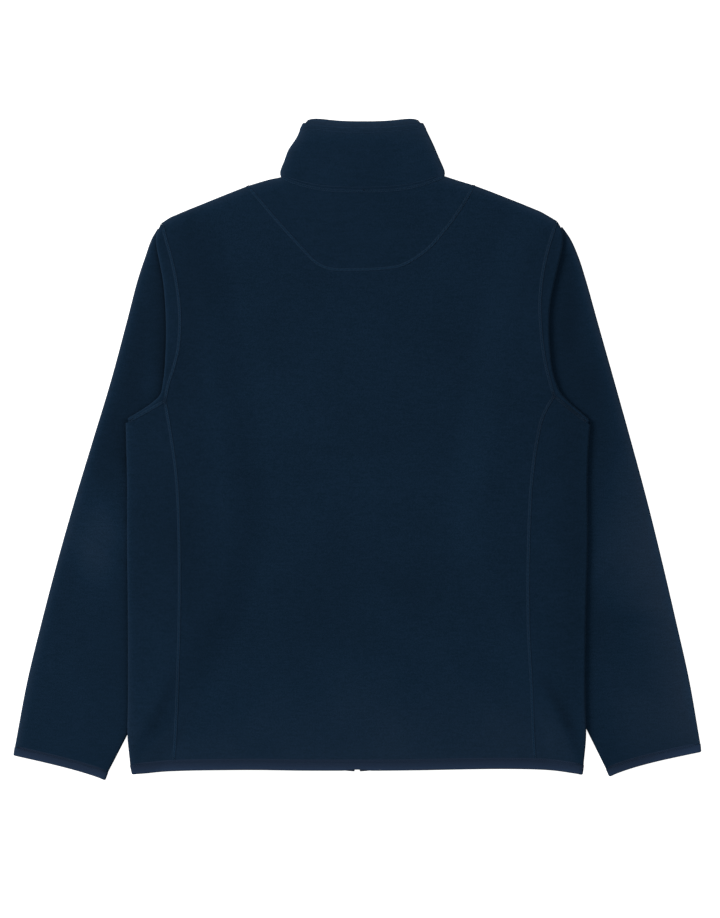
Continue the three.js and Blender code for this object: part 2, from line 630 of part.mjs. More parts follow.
/** The sleeve: a flattened tube under the body and the head that rolls over the armhole's edge. */
function sleeve(name) {
  const own = curves[name];
  const shares = range(STEPS.sleeve);
  const outer = pointsAt(own.sleeveOuter, shares);
  const inner = pointsAt(own.sleeveInner, shares);
  const tubeRows = shares.map((share, i) => {
    const lower = (BINDING_LIFT / 2) * (1 - smooth(share / 0.06));
    const upper = share > 0.95 ? 1.0 : 0;
    const bow = CUFF_BOW[name] * (1 - smooth(share / CUFF_BOW.reach));
    return sleeveRing(inner[i], outer[i], { lower, upper, bow });
  });
  const tube = clothWall(openSeams(tubeRows, ['bottom']), { round: true });
  const seam = armholeInner(name);
  const edge = pointsAt(own.armEdge, range(seam.length - 1).map((t) => lerp(0.012, ARM_END, t)));
  const head = clothWall(openSeams(
    seam.map((point, i) => foldedPath(point, edge[i], 2)), ['bottom', 'top', 'start', 'end']));
  return fromManifold(toManifold(tube).add(toManifold(head)));
}

/** Seam line of the sleeve head: along the side panel's top and then up the armhole. */
function armholeInner(name) {
  const own = curves[name];
  const corner = own.bodyEdge.getPoint(1);
  const joint = own.sideSeam.getPoint(1);
  const low = range(4).map((t) => mix(corner, joint, lerp(0.06, 1, t)));
  return [...low, ...pointsAt(own.armSeam, armShares.map((t) => t * ARM_END)).slice(1)];
}

function cuffBinding(name) {
  const side = SIDES[name];
  const at = (rows, i) => new THREE.Vector3(side.sign * rows[i].x, rows[i].y, 0);
  const rows = [0, 1].map((i) => sleeveRing(
    at(side.sleeveInner, i), at(side.sleeveOuter, i),
    { lower: BINDING_LIFT / 2, upper: 0, bow: CUFF_BOW[name] }));
  return clothWall(openSeams(rows, ['top']), { round: true, thickness: () => BAND });
}

/** A row that runs from the zip round the left fold, across the back and round to the zip again. */
function roundRow(frontPlan, leftEdge, backPlan, rightEdge, trim = (plan) => plan) {
  const path = [];
  const lay = (plan, height) => path.push(new THREE.Vector3(plan.x, plan.y, height(plan.x, plan.y)));
  const turn = (edge, sign, shares) => {
    const radius = FOLD_RADIUS;
    const centreX = edge.x - sign * (CLOTH / 2 + radius);
    const middle = frontHeight(centreX, edge.y) + radius;
    for (const share of shares) {
      const angle = Math.PI * share;
      const plan = trim({ x: centreX + sign * radius * Math.sin(angle), y: edge.y });
      path.push(new THREE.Vector3(plan.x, plan.y, middle - radius * Math.cos(angle)));
    }
  };
  const half = frontPlan.length / 2;
  frontPlan.slice(0, half).forEach((plan) => lay(plan, frontHeight));
  turn(leftEdge, -1, range(STEPS.fold));
  backPlan.forEach((plan) => lay(plan, backHeight));
  turn(rightEdge, 1, range(STEPS.fold).reverse());
  frontPlan.slice(half).forEach((plan) => lay(plan, frontHeight));
  return path;
}

function hemBinding() {
  const inset = CLOTH / 2 + FOLD_RADIUS;
  const zip = CHAIN.half;
  const rows = [0, 1].map((level) => {
    const corner = (name) => {
      const side = SIDES[name];
      const low = new THREE.Vector3(side.sign * side.hemCorner.x, side.hemCorner.y, 0);
      const x = curves[name].bodyEdge.getPoint(0).x;
      return level ? onHemTop(x) : low;
    };
    const left = corner('left');
    const right = corner('right');
    const height = (x, layer) => hemLine(x, layer * (1 - level)) + level * HEM_BINDING;
    const leftSpan = range(STEPS.hemFront).slice(0, -1).map((t) => lerp(-zip, left.x + inset, t));
    const rightSpan = range(STEPS.hemFront).slice(1).map((t) => lerp(right.x - inset, zip, t));
    const front = [...leftSpan, ...rightSpan].map((x) => new THREE.Vector3(x, height(x, 1), 0));
    const back = range(2 * STEPS.hemFront).slice(1, -1)
      .map((t) => lerp(left.x + inset, right.x - inset, t))
      .map((x) => new THREE.Vector3(x, height(x, -1), 0));
    return roundRow(front, left, back, right, level ? onBinding : undefined);
  });
  return clothWall(openSeams(rows, ['top', 'start', 'end']), { thickness: () => BAND });
}

/** Plan points of one collar row; level runs from 0 at the neck seam to 1 at the top edge. */
function collarRow(level) {
  const left = curves.left.collarEdge.getPointAt(level);
  const right = curves.right.collarEdge.getPointAt(level);
  const inset = CLOTH / 2 + FOLD_RADIUS;
  const backDip = lerp(NECK_DIP.back, COLLAR_TOP.dip, level);
  const rise = COLLAR_TOP.rise * smooth((level - COLLAR_TOP.riseFrom) / (1 - COLLAR_TOP.riseFrom));
  const frontDip = lerp(NECK_DIP.front, COLLAR_TOP.frontDip, level);
  const width = right.x - left.x;
  const back = range(STEPS.yoke).slice(1, -1).map((t) => {
    const point = mix(left, right, lerp(inset / width, 1 - inset / width, t));
    const across = Math.abs(2 * ((point.x - left.x) / width) - 1);
    point.y += rise * (1 - across ** 8) - backDip * (1 - across ** NECK_DIP.power);
    return point;
  });
  const frontPoint = (x) => {
    const share = (x - left.x) / width;
    const point = mix(left, right, share);
    point.x = x;
    point.y -= frontDip * (1 - Math.abs(2 * share - 1) ** NECK_DIP.power);
    return point;
  };
  const leftSpan = collarFrontXs('left', left.x).slice(0, -1);
  const rightSpan = collarFrontXs('right', right.x).slice(0, -1).reverse();
  const front = [...leftSpan, ...rightSpan].map(frontPoint);
  return roundRow(front, left, back, right);
}

function collar() {
  const body = range(STEPS.collarRows).map((level) => (COLLAR_BAND - 0.02) * level);
  const levels = [...body, COLLAR_BAND, 1];
  const bandStart = levels.length - 2;
  const rows = levels.map(collarRow);
  const thickness = (row) => (row >= bandStart ? BAND : CLOTH);
  return clothWall(openSeams(rows, ['bottom', 'start', 'end']), { thickness });
}

/** A strip of the zip that follows the front's height, its underside raised by low. */
function zipStrip(xs, low, thickness, bottom, top) {
  const hemEnd = bottom + 40;
  const sliderStart = SLIDER.y - 120;
  const ys = [
    ...range(3).map((t) => lerp(bottom, hemEnd, t)),
    ...range(4).slice(1).map((t) => lerp(hemEnd, sliderStart, t)),
    ...range(STEPS.zip).slice(1).map((t) => lerp(sliderStart, top, t)),
  ];
  const middle = low + (thickness - CLOTH) / 2;
  const grid = ys.map((y) => xs.map((x) => new THREE.Vector3(x, y, frontHeight(x, y) + middle)));
  return clothWall(grid, { thickness: () => thickness });
}

function zipTape(name) {
  const { sign } = SIDES[name];
  const xs = [TAPE.inner, (TAPE.inner + TAPE.outer) / 2, TAPE.outer].map((x) => sign * x);
  return zipStrip(xs, TAPE.low, TAPE.thickness, ZIP_BOTTOM, ZIP_TOP);
}

function zipTeeth() {
  const half = CHAIN.half - SEAM_GAP;
  const bottom = ZIP_BOTTOM + BOX.length + SEAM_GAP;
  const top = SLIDER.y - SLIDER.length / 2 - SEAM_GAP;
  return zipStrip([-half, half], CLOTH - CHAIN.thickness, CHAIN.thickness, bottom, top);
}

/** A block with rounded corners seen from above, standing on its low face. */
function roundedPlate(width, length, thickness, corner, y, low) {
  const w = width / 2 - corner;
  const l = length / 2 - corner;
  const shape = new THREE.Shape();
  shape.absarc(w, l, corner, 0, Math.PI / 2);
  shape.absarc(-w, l, corner, Math.PI / 2, Math.PI);
  shape.absarc(-w, -l, corner, Math.PI, 1.5 * Math.PI);
  shape.absarc(w, -l, corner, 1.5 * Math.PI, 2 * Math.PI);
  shape.closePath();
  const settings = { depth: thickness, bevelEnabled: false, curveSegments: 4 };
  return new THREE.ExtrudeGeometry(shape, settings).translate(0, y, low);
}

/** A plain block between two heights. */
function block(width, fromY, toY, low, high) {
  const geometry = new THREE.BoxGeometry(width, toY - fromY, high - low);
  return geometry.translate(0, (fromY + toY) / 2, (low + high) / 2);
}

function zipBox() {
  return roundedPlate(BOX.width, BOX.length, BOX.thickness, 1, ZIP_BOTTOM + BOX.length / 2, BOX.low);
}

/** Two plates on either side of the tapes, joined by the post that parts the teeth, and the tab's arch. */
function zipSlider() {
  const { y, width, length, corner, plate, outerGap, innerGap, post, arch } = SLIDER;
  const underside = frontHeight(0, y) - CLOTH / 2;
  const outerHigh = underside - outerGap;
  const innerLow = underside + TAPE.low + TAPE.thickness + innerGap;
  const outerLow = outerHigh - plate;
  const root = 0.2; // how far a joining piece runs into the plate it stands on
  const postY = y + post.y - post.length / 2;
  const pieces = [
    roundedPlate(width, length, plate, corner, y, outerLow),
    roundedPlate(width, length, plate, corner, y, innerLow),
    block(post.width, postY, postY + post.length, outerHigh - root, innerLow + root),
    block(arch.width, y + arch.from, y + arch.to, arch.low, arch.low + arch.thickness),
    block(arch.width, y + arch.from, y + arch.from + arch.foot, arch.low, outerLow + root),
    block(arch.width, y + arch.to - arch.foot, y + arch.to, arch.low, outerLow + root),
  ];
  return fromManifold(pieces.map(toManifold).reduce((sum, piece) => sum.add(piece)));
}

/** The pull tab: a stepped strip with a window round the slider's arch. */
function pullTab() {
  const { pivotY, pivotZ, bar, width, thickness, length, window, step } = TAB;
  const half = thickness / 2;
  const profile = new THREE.Shape();
  profile.moveTo(bar, half);
  for (const [y, z] of [
    [-step.from, half], [-step.to, half - step.drop], [-length, half - step.drop],
    [-length, -half - step.drop], [-step.to, -half - step.drop], [-step.from, -half], [bar, -half],
  ]) profile.lineTo(y, z);
  profile.closePath();
  const strip = new THREE.ExtrudeGeometry(profile, { depth: width, bevelEnabled: false });
  const toFrame = new THREE.Matrix4().makeBasis(
    new THREE.Vector3(0, 1, 0), new THREE.Vector3(0, 0, 1), new THREE.Vector3(1, 0, 0));
  strip.translate(0, 0, -width / 2).applyMatrix4(toFrame);
  const cut = new THREE.BoxGeometry(window.width, window.to - window.from, 4 * thickness);
  cut.translate(0, -(window.from + window.to) / 2, 0);
  const tab = fromManifold(toManifold(strip).subtract(toManifold(cut)));
  return tab.translate(0, SLIDER.y + pivotY, pivotZ);
}

const material = (color, roughness, metalness = 0) => new THREE.MeshStandardMaterial({
  color, roughness, metalness, side: THREE.DoubleSide,
});
const FLEECE = material('#16293b', 0.95);
const BINDING = material('#1c2c42', 0.9);
const TAPE_CLOTH = material('#15222f', 0.85);
const MOULDED = material('#18222c', 0.5);
const METAL = material('#23282e', 0.4, 0.8);

const jacket = new THREE.Group();
function add(name, geometry, finish) {
  const mesh = new THREE.Mesh(geometry, finish);
  mesh.name = name;
  jacket.add(mesh);
}

add('back_panel', backPanel(), FLEECE);
add('half_moon_yoke', yoke(), FLEECE);
for (const name of ['left', 'right']) {
  add(`side_panel_${name}`, sidePanel(name), FLEECE);
  add(`front_panel_${name}`, frontPanel(name), FLEECE);
  add(`sleeve_${name}`, sleeve(name), FLEECE);
  add(`cuff_binding_${name}`, cuffBinding(name), BINDING);
}
add('collar', collar(), FLEECE);
add('hem_binding', hemBinding(), BINDING);
for (const name of ['left', 'right']) add(`zip_tape_${name}`, zipTape(name), TAPE_CLOTH);
add('zip_teeth', zipTeeth(), MOULDED);
add('zip_box', zipBox(), MOULDED);
add('zip_slider', zipSlider(), METAL);
add('pull_tab', pullTab(), METAL);

export default jacket;
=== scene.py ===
# %% [markdown]
# # A fleece zip jacket, laid flat on its front
#
# The jacket is a thin navy micro fleece with a stand collar, a half-moon yoke, side panels,
# a bound hem and cuffs and a full zip. It lies on its front, so the camera, straight above,
# sees its back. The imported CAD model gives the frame: where each sewn piece lies. This lesson
# dresses that frame with finer cloth, thread, zip teeth and finishes.

# %% Load the frame
import math

import bpy
import numpy as np
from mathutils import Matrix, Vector


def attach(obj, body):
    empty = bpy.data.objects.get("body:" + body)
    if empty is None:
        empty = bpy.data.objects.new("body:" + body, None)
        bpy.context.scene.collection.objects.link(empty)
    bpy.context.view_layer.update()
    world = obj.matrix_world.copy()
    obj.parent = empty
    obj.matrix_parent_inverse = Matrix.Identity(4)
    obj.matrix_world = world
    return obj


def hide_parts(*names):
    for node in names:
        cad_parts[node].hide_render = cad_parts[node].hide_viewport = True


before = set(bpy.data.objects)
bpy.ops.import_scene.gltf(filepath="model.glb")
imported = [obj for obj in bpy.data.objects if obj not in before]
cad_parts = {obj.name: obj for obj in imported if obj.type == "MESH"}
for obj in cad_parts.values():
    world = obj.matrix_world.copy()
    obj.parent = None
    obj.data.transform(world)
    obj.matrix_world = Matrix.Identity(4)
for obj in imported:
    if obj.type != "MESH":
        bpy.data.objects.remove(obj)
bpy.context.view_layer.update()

# %% [markdown]
# ## Studio
#
# A shop photographs a garment on a white table under large soft lamps, straight from above,
# so that no shadow shows. Here the table is a white sheet that also glows for the camera, as
# an overexposed light table does. Seen from below it is clear, so that the zip on the
# underside can be looked at too. It lies 0.4 mm under the cloth, because two surfaces in one
# plane flicker. The key lamp stands low on the left, so that seams and creases show, and a
# wide lamp above fills its shadows. A third lamp lights the underside, and a plain world
# colour stands for the white walls.

# %% A function that adds a node
MM = 0.001


def node(tree, kind, inputs=(), **settings):
    """Adds a node to a tree, with its settings and its input values or links."""
    made = tree.nodes.new("ShaderNode" + kind)
    for key, value in settings.items():
        setattr(made, key, value)
    for key, value in dict(inputs).items():
        if isinstance(value, bpy.types.NodeSocket):
            tree.links.new(value, made.inputs[key])
        else:
            made.inputs[key].default_value = value
    return made


def colour(code):
    """An sRGB hex code as the linear colour that Blender works in."""
    parts = [int(code[i:i + 2], 16) / 255 for i in (1, 3, 5)]
    linear = (p / 12.92 if p <= 0.04045 else ((p + 0.055) / 1.055) ** 2.4 for p in parts)
    return (*linear, 1.0)


def start_material(name):
    """A new material with an empty tree and its output node."""
    made = bpy.data.materials.new(name)
    made.use_nodes = True
    made.node_tree.nodes.clear()
    return made, made.node_tree, node(made.node_tree, "OutputMaterial")


print("sRGB #808080 in linear light:", round(colour("#808080")[0], 3))

# %% Camera, as the photograph's: straight down
PIXEL = 1.2 * MM  # one pixel of the photograph on the table
VIEW_HEIGHT = 918 * PIXEL
VIEW_CENTRE = (3.3 * MM, -11.5 * MM)
LENS = 100.0
SENSOR = 36.0
CLIP_END = 50.0
camera = bpy.data.objects.new("camera", bpy.data.cameras.new("camera"))
bpy.context.scene.collection.objects.link(camera)
camera.data.lens = LENS
camera.data.sensor_width = SENSOR
camera.location = (*VIEW_CENTRE, VIEW_HEIGHT / SENSOR * LENS)
camera.data.clip_end = CLIP_END
bpy.context.scene.camera = camera
bpy.context.scene.view_settings.view_transform = "Standard"
print("Camera height, metres:", round(camera.location.z, 3))

# %% White table
FLOOR_SIZE = 80.0
FLOOR_GLOW = 0.9
FLOOR_DROP = 0.4 * MM  # just clear of the cloth
bpy.ops.object.select_all(action="DESELECT")
bpy.ops.mesh.primitive_plane_add(size=FLOOR_SIZE, location=(0, 0, -FLOOR_DROP))
floor = bpy.context.object
floor.name = "floor"
# Opal acrylic, lit from within, gives a white ground without any shadow.
floor_finish, tree, output = start_material("white opal acrylic")
side = node(tree, "NewGeometry")
path = node(tree, "LightPath")
seen = node(tree, "Math", {0: path.outputs["Is Camera Ray"], 1: FLOOR_GLOW}, operation="MULTIPLY")
white = node(tree, "BsdfPrincipled", {
    "Base Color": colour("#d2d2d0"), "Roughness": 0.9,
    "Emission Color": colour("#ffffff"), "Emission Strength": seen.outputs[0]})
clear = node(tree, "BsdfTransparent")
open_to = node(tree, "Math", {0: side.outputs["Backfacing"], 1: path.outputs["Is Shadow Ray"]},
               operation="MAXIMUM")
sheet_mix = node(tree, "MixShader", {
    0: open_to.outputs[0], 1: white.outputs[0], 2: clear.outputs[0]})
tree.links.new(sheet_mix.outputs[0], output.inputs["Surface"])
floor.data.materials.append(floor_finish)
print("Table, metres across:", FLOOR_SIZE)

# %% Soft lamps
LAMPS = {  # place and size in metres, power in watts; all face the middle of the jacket
    "key_lamp": ((-2.3, 0.9, 1.8), 1.3, 78),
    "top_lamp": ((0.4, 0.0, 3.4), 2.5, 22),
    "under_lamp": ((0.3, -0.4, -2.2), 2.5, 70),
}
ROOM_LIGHT = 0.36  # strength of the white walls
for name, (place, size, power) in LAMPS.items():
    lamp = bpy.data.objects.new(name, bpy.data.lights.new(name, "AREA"))
    bpy.context.scene.collection.objects.link(lamp)
    lamp.data.size = size
    lamp.data.energy = power
    lamp.location = place
    lamp.rotation_mode = "QUATERNION"
    lamp.rotation_quaternion = (Vector((0, 0, 0)) - Vector(place)).to_track_quat("-Z", "Y")
world = bpy.data.worlds.new("white room")
bpy.context.scene.world = world
world.use_nodes = True
walls = world.node_tree.nodes["Background"]
walls.inputs["Color"].default_value = colour("#ffffff")
walls.inputs["Strength"].default_value = ROOM_LIGHT
print("Lamps:", ", ".join(LAMPS))

# %% [markdown]
# ## The pattern
#
# A jacket is cut from a paper pattern: outlines with real sizes. These rows are the outline
# of the laid garment in millimetres, x across from the middle line and y up to the collar.
# A smooth line runs through each set of rows. The same lines bound the pieces on both sides
# of a seam, so the pieces meet.

# %% Sizes of the cloth
CLOTH = 2.0 * MM
BAND = 2.8 * MM  # a bound or turned edge
SEAM_GAP = 0.3 * MM
FOLD_RADIUS = 1.8 * MM
SLEEVE_RADIUS = 1.4 * MM
SLEEVE_LIFT = 5.4 * MM
DRAPE_START = 12 * MM
DRAPE_WIDTH = 52 * MM
HEM_BINDING = 11.5 * MM
BINDING_LIFT = 0.8 * MM
CHAIN_HALF = 3 * MM
SLIDER_Y = 318 * MM
SLIDER_LIFT = {"front": 3.8 * MM, "back": 1.5 * MM, "spread": 44 * MM, "back spread": 30 * MM}
STEP = 4.0 * MM  # how far apart the cloth's points are
EDGE_STEPS = (0.0, 0.7 * MM, 1.6 * MM, 3.0 * MM, 5.2 * MM)  # closer together beside a seam
FOLD_STEPS = 8  # steps round the half circle of a fold
print("Two layers with their fold, mm:", round((CLOTH + 2 * FOLD_RADIUS) / MM, 1))

# %% Outlines
SIDES = {
    "left": {
        "sign": -1,
        "side_seam": [(220, -376), (218, -343), (216, -301), (213, -205), (213, -109), (216, -37),
                      (222, 11), (230, 58)],
        "body_edge": [(272, -376), (275, -343), (274.5, -301), (274.5, -205), (275.5, -109),
                      (275.5, -37), (276.5, 8), (277, 31)],
        "arm_seam": [(230, 58), (226.5, 76), (219, 100), (214, 122), (212, 152), (213.5, 179),
                     (218, 209), (224, 235), (229, 252), (232.6, 267.2)],
        "arm_edge": [(277, 36), (260, 46), (246, 55.5), (235.5, 66), (231.8, 83), (229.7, 109),
                     (228.8, 140), (229.7, 171), (232.4, 201), (236.6, 224), (240.2, 243),
                     (240.8, 256), (234.8, 270.5)],
        "shoulder": [(234.8, 270.5), (224, 277.7), (200, 288.3), (176, 298.2), (152, 307.8),
                     (131.6, 315.8)],
        "neck_side": [(131.6, 315.8), (116, 320.6), (104, 323.9), (91.6, 326.3)],
        "sleeve_outer": [(412, -366.6), (410.5, -356.6), (395.5, -277), (378, -205), (359.2, -133),
                         (338.8, -61), (317, 11), (295.2, 83), (275.9, 155), (263.4, 203),
                         (254, 231.5), (246.2, 253), (239, 265)],
        "sleeve_inner": [(302.2, -396.3), (298.7, -387), (276, -343), (254, -300), (231.6, -257),
                         (209.6, -214), (187.5, -171), (172, -130), (166, -80), (172, -20),
                         (184, 50), (194, 120), (204, 180), (216, 224), (227, 248), (233, 259)],
        "hem_corner": (269.5, -388.9),
        "collar_edge": [(91.6, 326.3), (92.6, 331.5), (91.2, 337), (88.1, 344.3), (85.6, 351.5),
                        (82.7, 358.7), (77.8, 366), (73, 373.1), (70.2, 379), (68.4, 384),
                        (64.8, 391)],
    },
    "right": {
        "sign": 1,
        "side_seam": [(213, -376), (211, -343), (209.5, -301), (204.5, -205), (205, -109),
                      (208.5, -37), (215, 11), (222, 40), (235, 64)],
        "body_edge": [(271.2, -376), (274, -343), (273, -301), (273.5, -205), (276, -109),
                      (275.5, -37), (277, 8), (278.7, 29)],
        "arm_seam": [(235, 64), (230, 82), (225, 103), (221, 129), (218.4, 171), (220.3, 200),
                     (225.5, 230), (231.4, 251), (237.3, 269.6)],
        "arm_edge": [(279, 34), (268.7, 43.5), (254.3, 56), (243, 68.5), (237.4, 81.5),
                     (233.8, 93), (230.8, 117), (229.6, 146), (230.6, 171.5), (235.8, 200),
                     (243, 230), (246.2, 247), (246, 260), (239.5, 273)],
        "shoulder": [(239.5, 273), (220, 284.7), (196, 295), (172, 304.5), (160, 309.2),
                     (140, 316.6)],
        "neck_side": [(140, 316.6), (124, 321.4), (114, 324.6), (104.6, 327.5)],
        "sleeve_outer": [(412.2, -362.4), (411.3, -352.6), (398.2, -277), (382.1, -205),
                         (365.3, -133), (347.5, -61), (328.1, 11), (308, 83), (287.7, 155),
                         (274.3, 203), (265.1, 231.5), (255.3, 253), (245.5, 267)],
        "sleeve_inner": [(302.3, -392), (298.2, -383), (275.5, -337), (253.6, -294),
                         (231.6, -251), (209.6, -208), (188, -165), (172, -124), (167, -76),
                         (174, -18), (186, 50), (198, 120), (209, 180), (221, 224), (232, 248),
                         (238, 260)],
        "hem_corner": (269.7, -389.2),
        "collar_edge": [(104.6, 327.5), (105.2, 331.5), (103.8, 336.5), (100.4, 344.3),
                        (96.2, 353.9), (92.2, 363.5), (87.6, 373.1), (83.8, 381), (78.6, 391)],
    },
}
YOKE_SEAM = [(-131.6, 315.8), (-97, 275), (-62, 236.4), (-50, 224.5), (-33, 216.5), (0, 215.6),
             (34, 217), (54, 221), (83, 239), (107, 266), (125, 291), (140, 316.6)]
NECK_DIP = {"back": 18 * MM, "front": 74 * MM}
NECK_POWER = 2.7
COLLAR_TOP = {"rise": 11.2 * MM, "rise from": 0.5, "dip": 9.2 * MM, "front dip": 61 * MM}
CUFF_BOW = {"left": 2.1 * MM, "right": 2.9 * MM}
BOW_REACH = 0.12  # share of the sleeve over which the cuff's bow dies out
COLLAR_BAND = 0.88
HEM_ROWS = [(-269.5, -388.9), (-252, -387.8), (-232, -386.1), (-205, -385), (-165, -384.4),
            (-120, -384.2), (-68, -384.9), (-20, -385), (20, -385), (72, -384.5), (128, -383.4),
            (172, -382.9), (215, -383.5), (238, -385), (258, -387.6), (269.7, -389.2)]
HEM_NOTCH = {"drop": 1.2 * MM, "rise": 1.4 * MM, "width": 20 * MM}
chest = sum(rows["body_edge"][-1][0] for rows in SIDES.values())
print("Chest, mm:", round(chest))

# %% Smooth lines
SAMPLES = 24  # points of a smooth line between two rows


def smooth_line(rows, sign=1):
    """A smooth line through rows of x and y in millimetres, as a dense chain in metres."""
    p = np.array(rows, float) * MM * (sign, 1)
    p = np.vstack([2 * p[0] - p[1], p, 2 * p[-1] - p[-2]])
    t = np.linspace(0, 1, SAMPLES, endpoint=False)[:, None]
    parts = []
    for a, b, c, d in zip(p, p[1:], p[2:], p[3:]):
        ab, bc, cd = (math.sqrt(np.linalg.norm(w)) for w in (b - a, c - b, d - c))
        leave = ((b - a) / ab - (c - a) / (ab + bc) + (c - b) / bc) * bc
        arrive = ((c - b) / bc - (d - b) / (bc + cd) + (d - c) / cd) * bc
        parts.append(b + leave * t + (3 * (c - b) - 2 * leave - arrive) * t**2
                     + (2 * (b - c) + leave + arrive) * t**3)
    parts.append(p[-2][None])
    return np.vstack(parts)


def lengths(chain):
    """How far along a chain each of its points is."""
    steps = np.linalg.norm(np.diff(chain, axis=0), axis=1)
    return np.concatenate([[0.0], np.cumsum(steps)])


yoke_seam = smooth_line(YOKE_SEAM)
hem_chain = smooth_line(HEM_ROWS)
for label, chain in (("Yoke seam", yoke_seam), ("Hem", hem_chain)):
    print(label, "length, mm:", round(lengths(chain)[-1] / MM))


# %% Points along a line
def along(chain, shares):
    """Points at the given shares of a chain's length."""
    far = lengths(chain)
    shares_of_points = far / far[-1]
    return np.stack([np.interp(shares, shares_of_points, row) for row in chain.T], 1)


def even(length, step=STEP):
    """Even shares of a length, about a step apart."""
    return np.linspace(0, 1, max(2, round(length / step) + 1))


def graded(length, step=STEP, start=True, end=True):
    """Shares of a length that come closer together where the cloth meets a seam."""
    low = np.array(EDGE_STEPS if start else (0.0,)) / length
    high = 1 - np.array(EDGE_STEPS if end else (0.0,))[::-1] / length
    middle = np.linspace(low[-1], high[0], max(2, round(length * (high[0] - low[-1]) / step) + 1))
    return np.concatenate([low[:-1], middle, high[1:]])


print("Points up a seam of 400 mm:", len(graded(400 * MM)))

# %% The lines of each side
LINES = {}
for name, rows in SIDES.items():
    own = {key: smooth_line(rows[key], rows["sign"]) for key in (
        "side_seam", "body_edge", "arm_seam", "arm_edge", "shoulder", "neck_side", "collar_edge")}
    own["sleeve_outer"] = smooth_line(rows["sleeve_outer"][1:], rows["sign"])
    own["sleeve_inner"] = smooth_line(rows["sleeve_inner"][1:], rows["sign"])
    both = rows["sleeve_outer"] + rows["sleeve_inner"][::-1]
    own["sleeve_outline"] = np.array(both) * MM * (rows["sign"], 1)
    shoulder = rows["shoulder"] + rows["neck_side"][1:]
    own["shoulder_line"] = np.array(shoulder) * MM * (rows["sign"], 1)
    LINES[name] = own
    print(name, "sleeve along its outer fold, mm:", round(lengths(own["sleeve_outer"])[-1] / MM))

# %% [markdown]
# ## How high the cloth lies
#
# The sleeves are tucked under the body, so the body lies on the table in the middle and on
# the sleeves at its sides, and it slopes between them. Beside the bindings and over the zip
# slider it is lifted a little. A jacket that was folded and shaken out also keeps a few soft
# creases. They are placed here where the photograph shows them, each a low ridge with a
# shallow trough beside it.

# %% Creases and waves
CREASES = {  # start, end, half width and height in mm
    "back": [
        ((-260, -356), (-221, -277), 9, -0.9), ((-236, -356), (-204, -312), 8, 0.5),
        ((268, -370), (230, -290), 8, -1.4), ((236, -362), (222, -322), 7, 0.5),
        ((-120, -14), (60, -22), 11, 0.55), ((-20, -52), (150, -40), 13, 0.5),
        ((-170, -46), (-60, -58), 12, 0.4), ((60, 120), (150, 92), 16, 0.35),
        ((-150, 108), (-70, 132), 15, 0.35), ((20, -190), (130, -214), 18, 0.3),
    ],
    "front": [
        ((60, -60), (190, -36), 12, 0.5), ((-190, -50), (-70, -72), 12, 0.5),
        ((210, -350), (170, -286), 10, 0.8), ((-214, -352), (-168, -300), 10, 0.8),
    ],
    "sleeve": [
        ((-330, -120), (-275, -160), 12, 0.9), ((-352, -176), (-300, -196), 12, 0.7),
        ((338, -108), (290, -150), 12, 0.9), ((356, -170), (306, -188), 12, 0.7),
        ((-372, -270), (-330, -252), 10, 0.4), ((376, -280), (330, -268), 10, 0.4),
        ((-300, 10), (-284, -30), 9, 0.5), ((305, 4), (286, -36), 9, 0.5),
    ],
}
WAVES = [  # across and up for each metre, phase and height in mm: the cloth never lies quite flat
    (6.1, 3.7, 0.4, 0.16), (-4.3, 8.9, 2.1, 0.13), (12.7, -5.3, 4.0, 0.09), (9.1, 15.2, 1.3, 0.07)]
print("Creases:", {layer: len(rows) for layer, rows in CREASES.items()})


# %% Distances on the plan
def soft_step(t):
    """A step from 0 to 1 with soft ends."""
    t = np.clip(t, 0, 1)
    return t * t * (3 - 2 * t)


def mix(a, b, t):
    """From a (0) to b (1)."""
    return a + (b - a) * t


def line_distance(x, y, line):
    """Distance on the plan to an open line."""
    nearest = np.full(x.shape, np.inf)
    for a, b in zip(line, line[1:]):
        dx, dy = b - a
        t = np.clip(((x - a[0]) * dx + (y - a[1]) * dy) / (dx * dx + dy * dy), 0, 1)
        nearest = np.minimum(nearest, np.hypot(x - a[0] - t * dx, y - a[1] - t * dy))
    return nearest


def chain_distance(x, y, chain):
    """Distance to a closed chain, and whether the chain holds the point."""
    nearest = line_distance(x, y, np.vstack([chain, chain[:1]]))
    inside = np.zeros(x.shape, bool)
    for a, b in zip(chain, np.roll(chain, -1, axis=0)):
        dx, dy = b - a
        if dy:
            inside ^= ((a[1] > y) != (b[1] > y)) & (x < a[0] + (y - a[1]) * dx / dy)
    return nearest, inside


middle = np.array([0.0])
print("From the middle point to the yoke seam, mm:",
      round(float(line_distance(middle, middle, yoke_seam)[0]) / MM))

# %% Ridges and troughs
CREASE_BOW, CREASE_CURVE = 4 * MM, 2.6  # a crease is never quite straight
CREASE_FADE = 2.5  # how many half widths past its ends it dies out
CREASE_ENDS = 0.45  # height of a crease at its ends, against its middle
TROUGH_DEPTH, TROUGH_AWAY = 0.5, 1.7  # against the ridge's height and half width


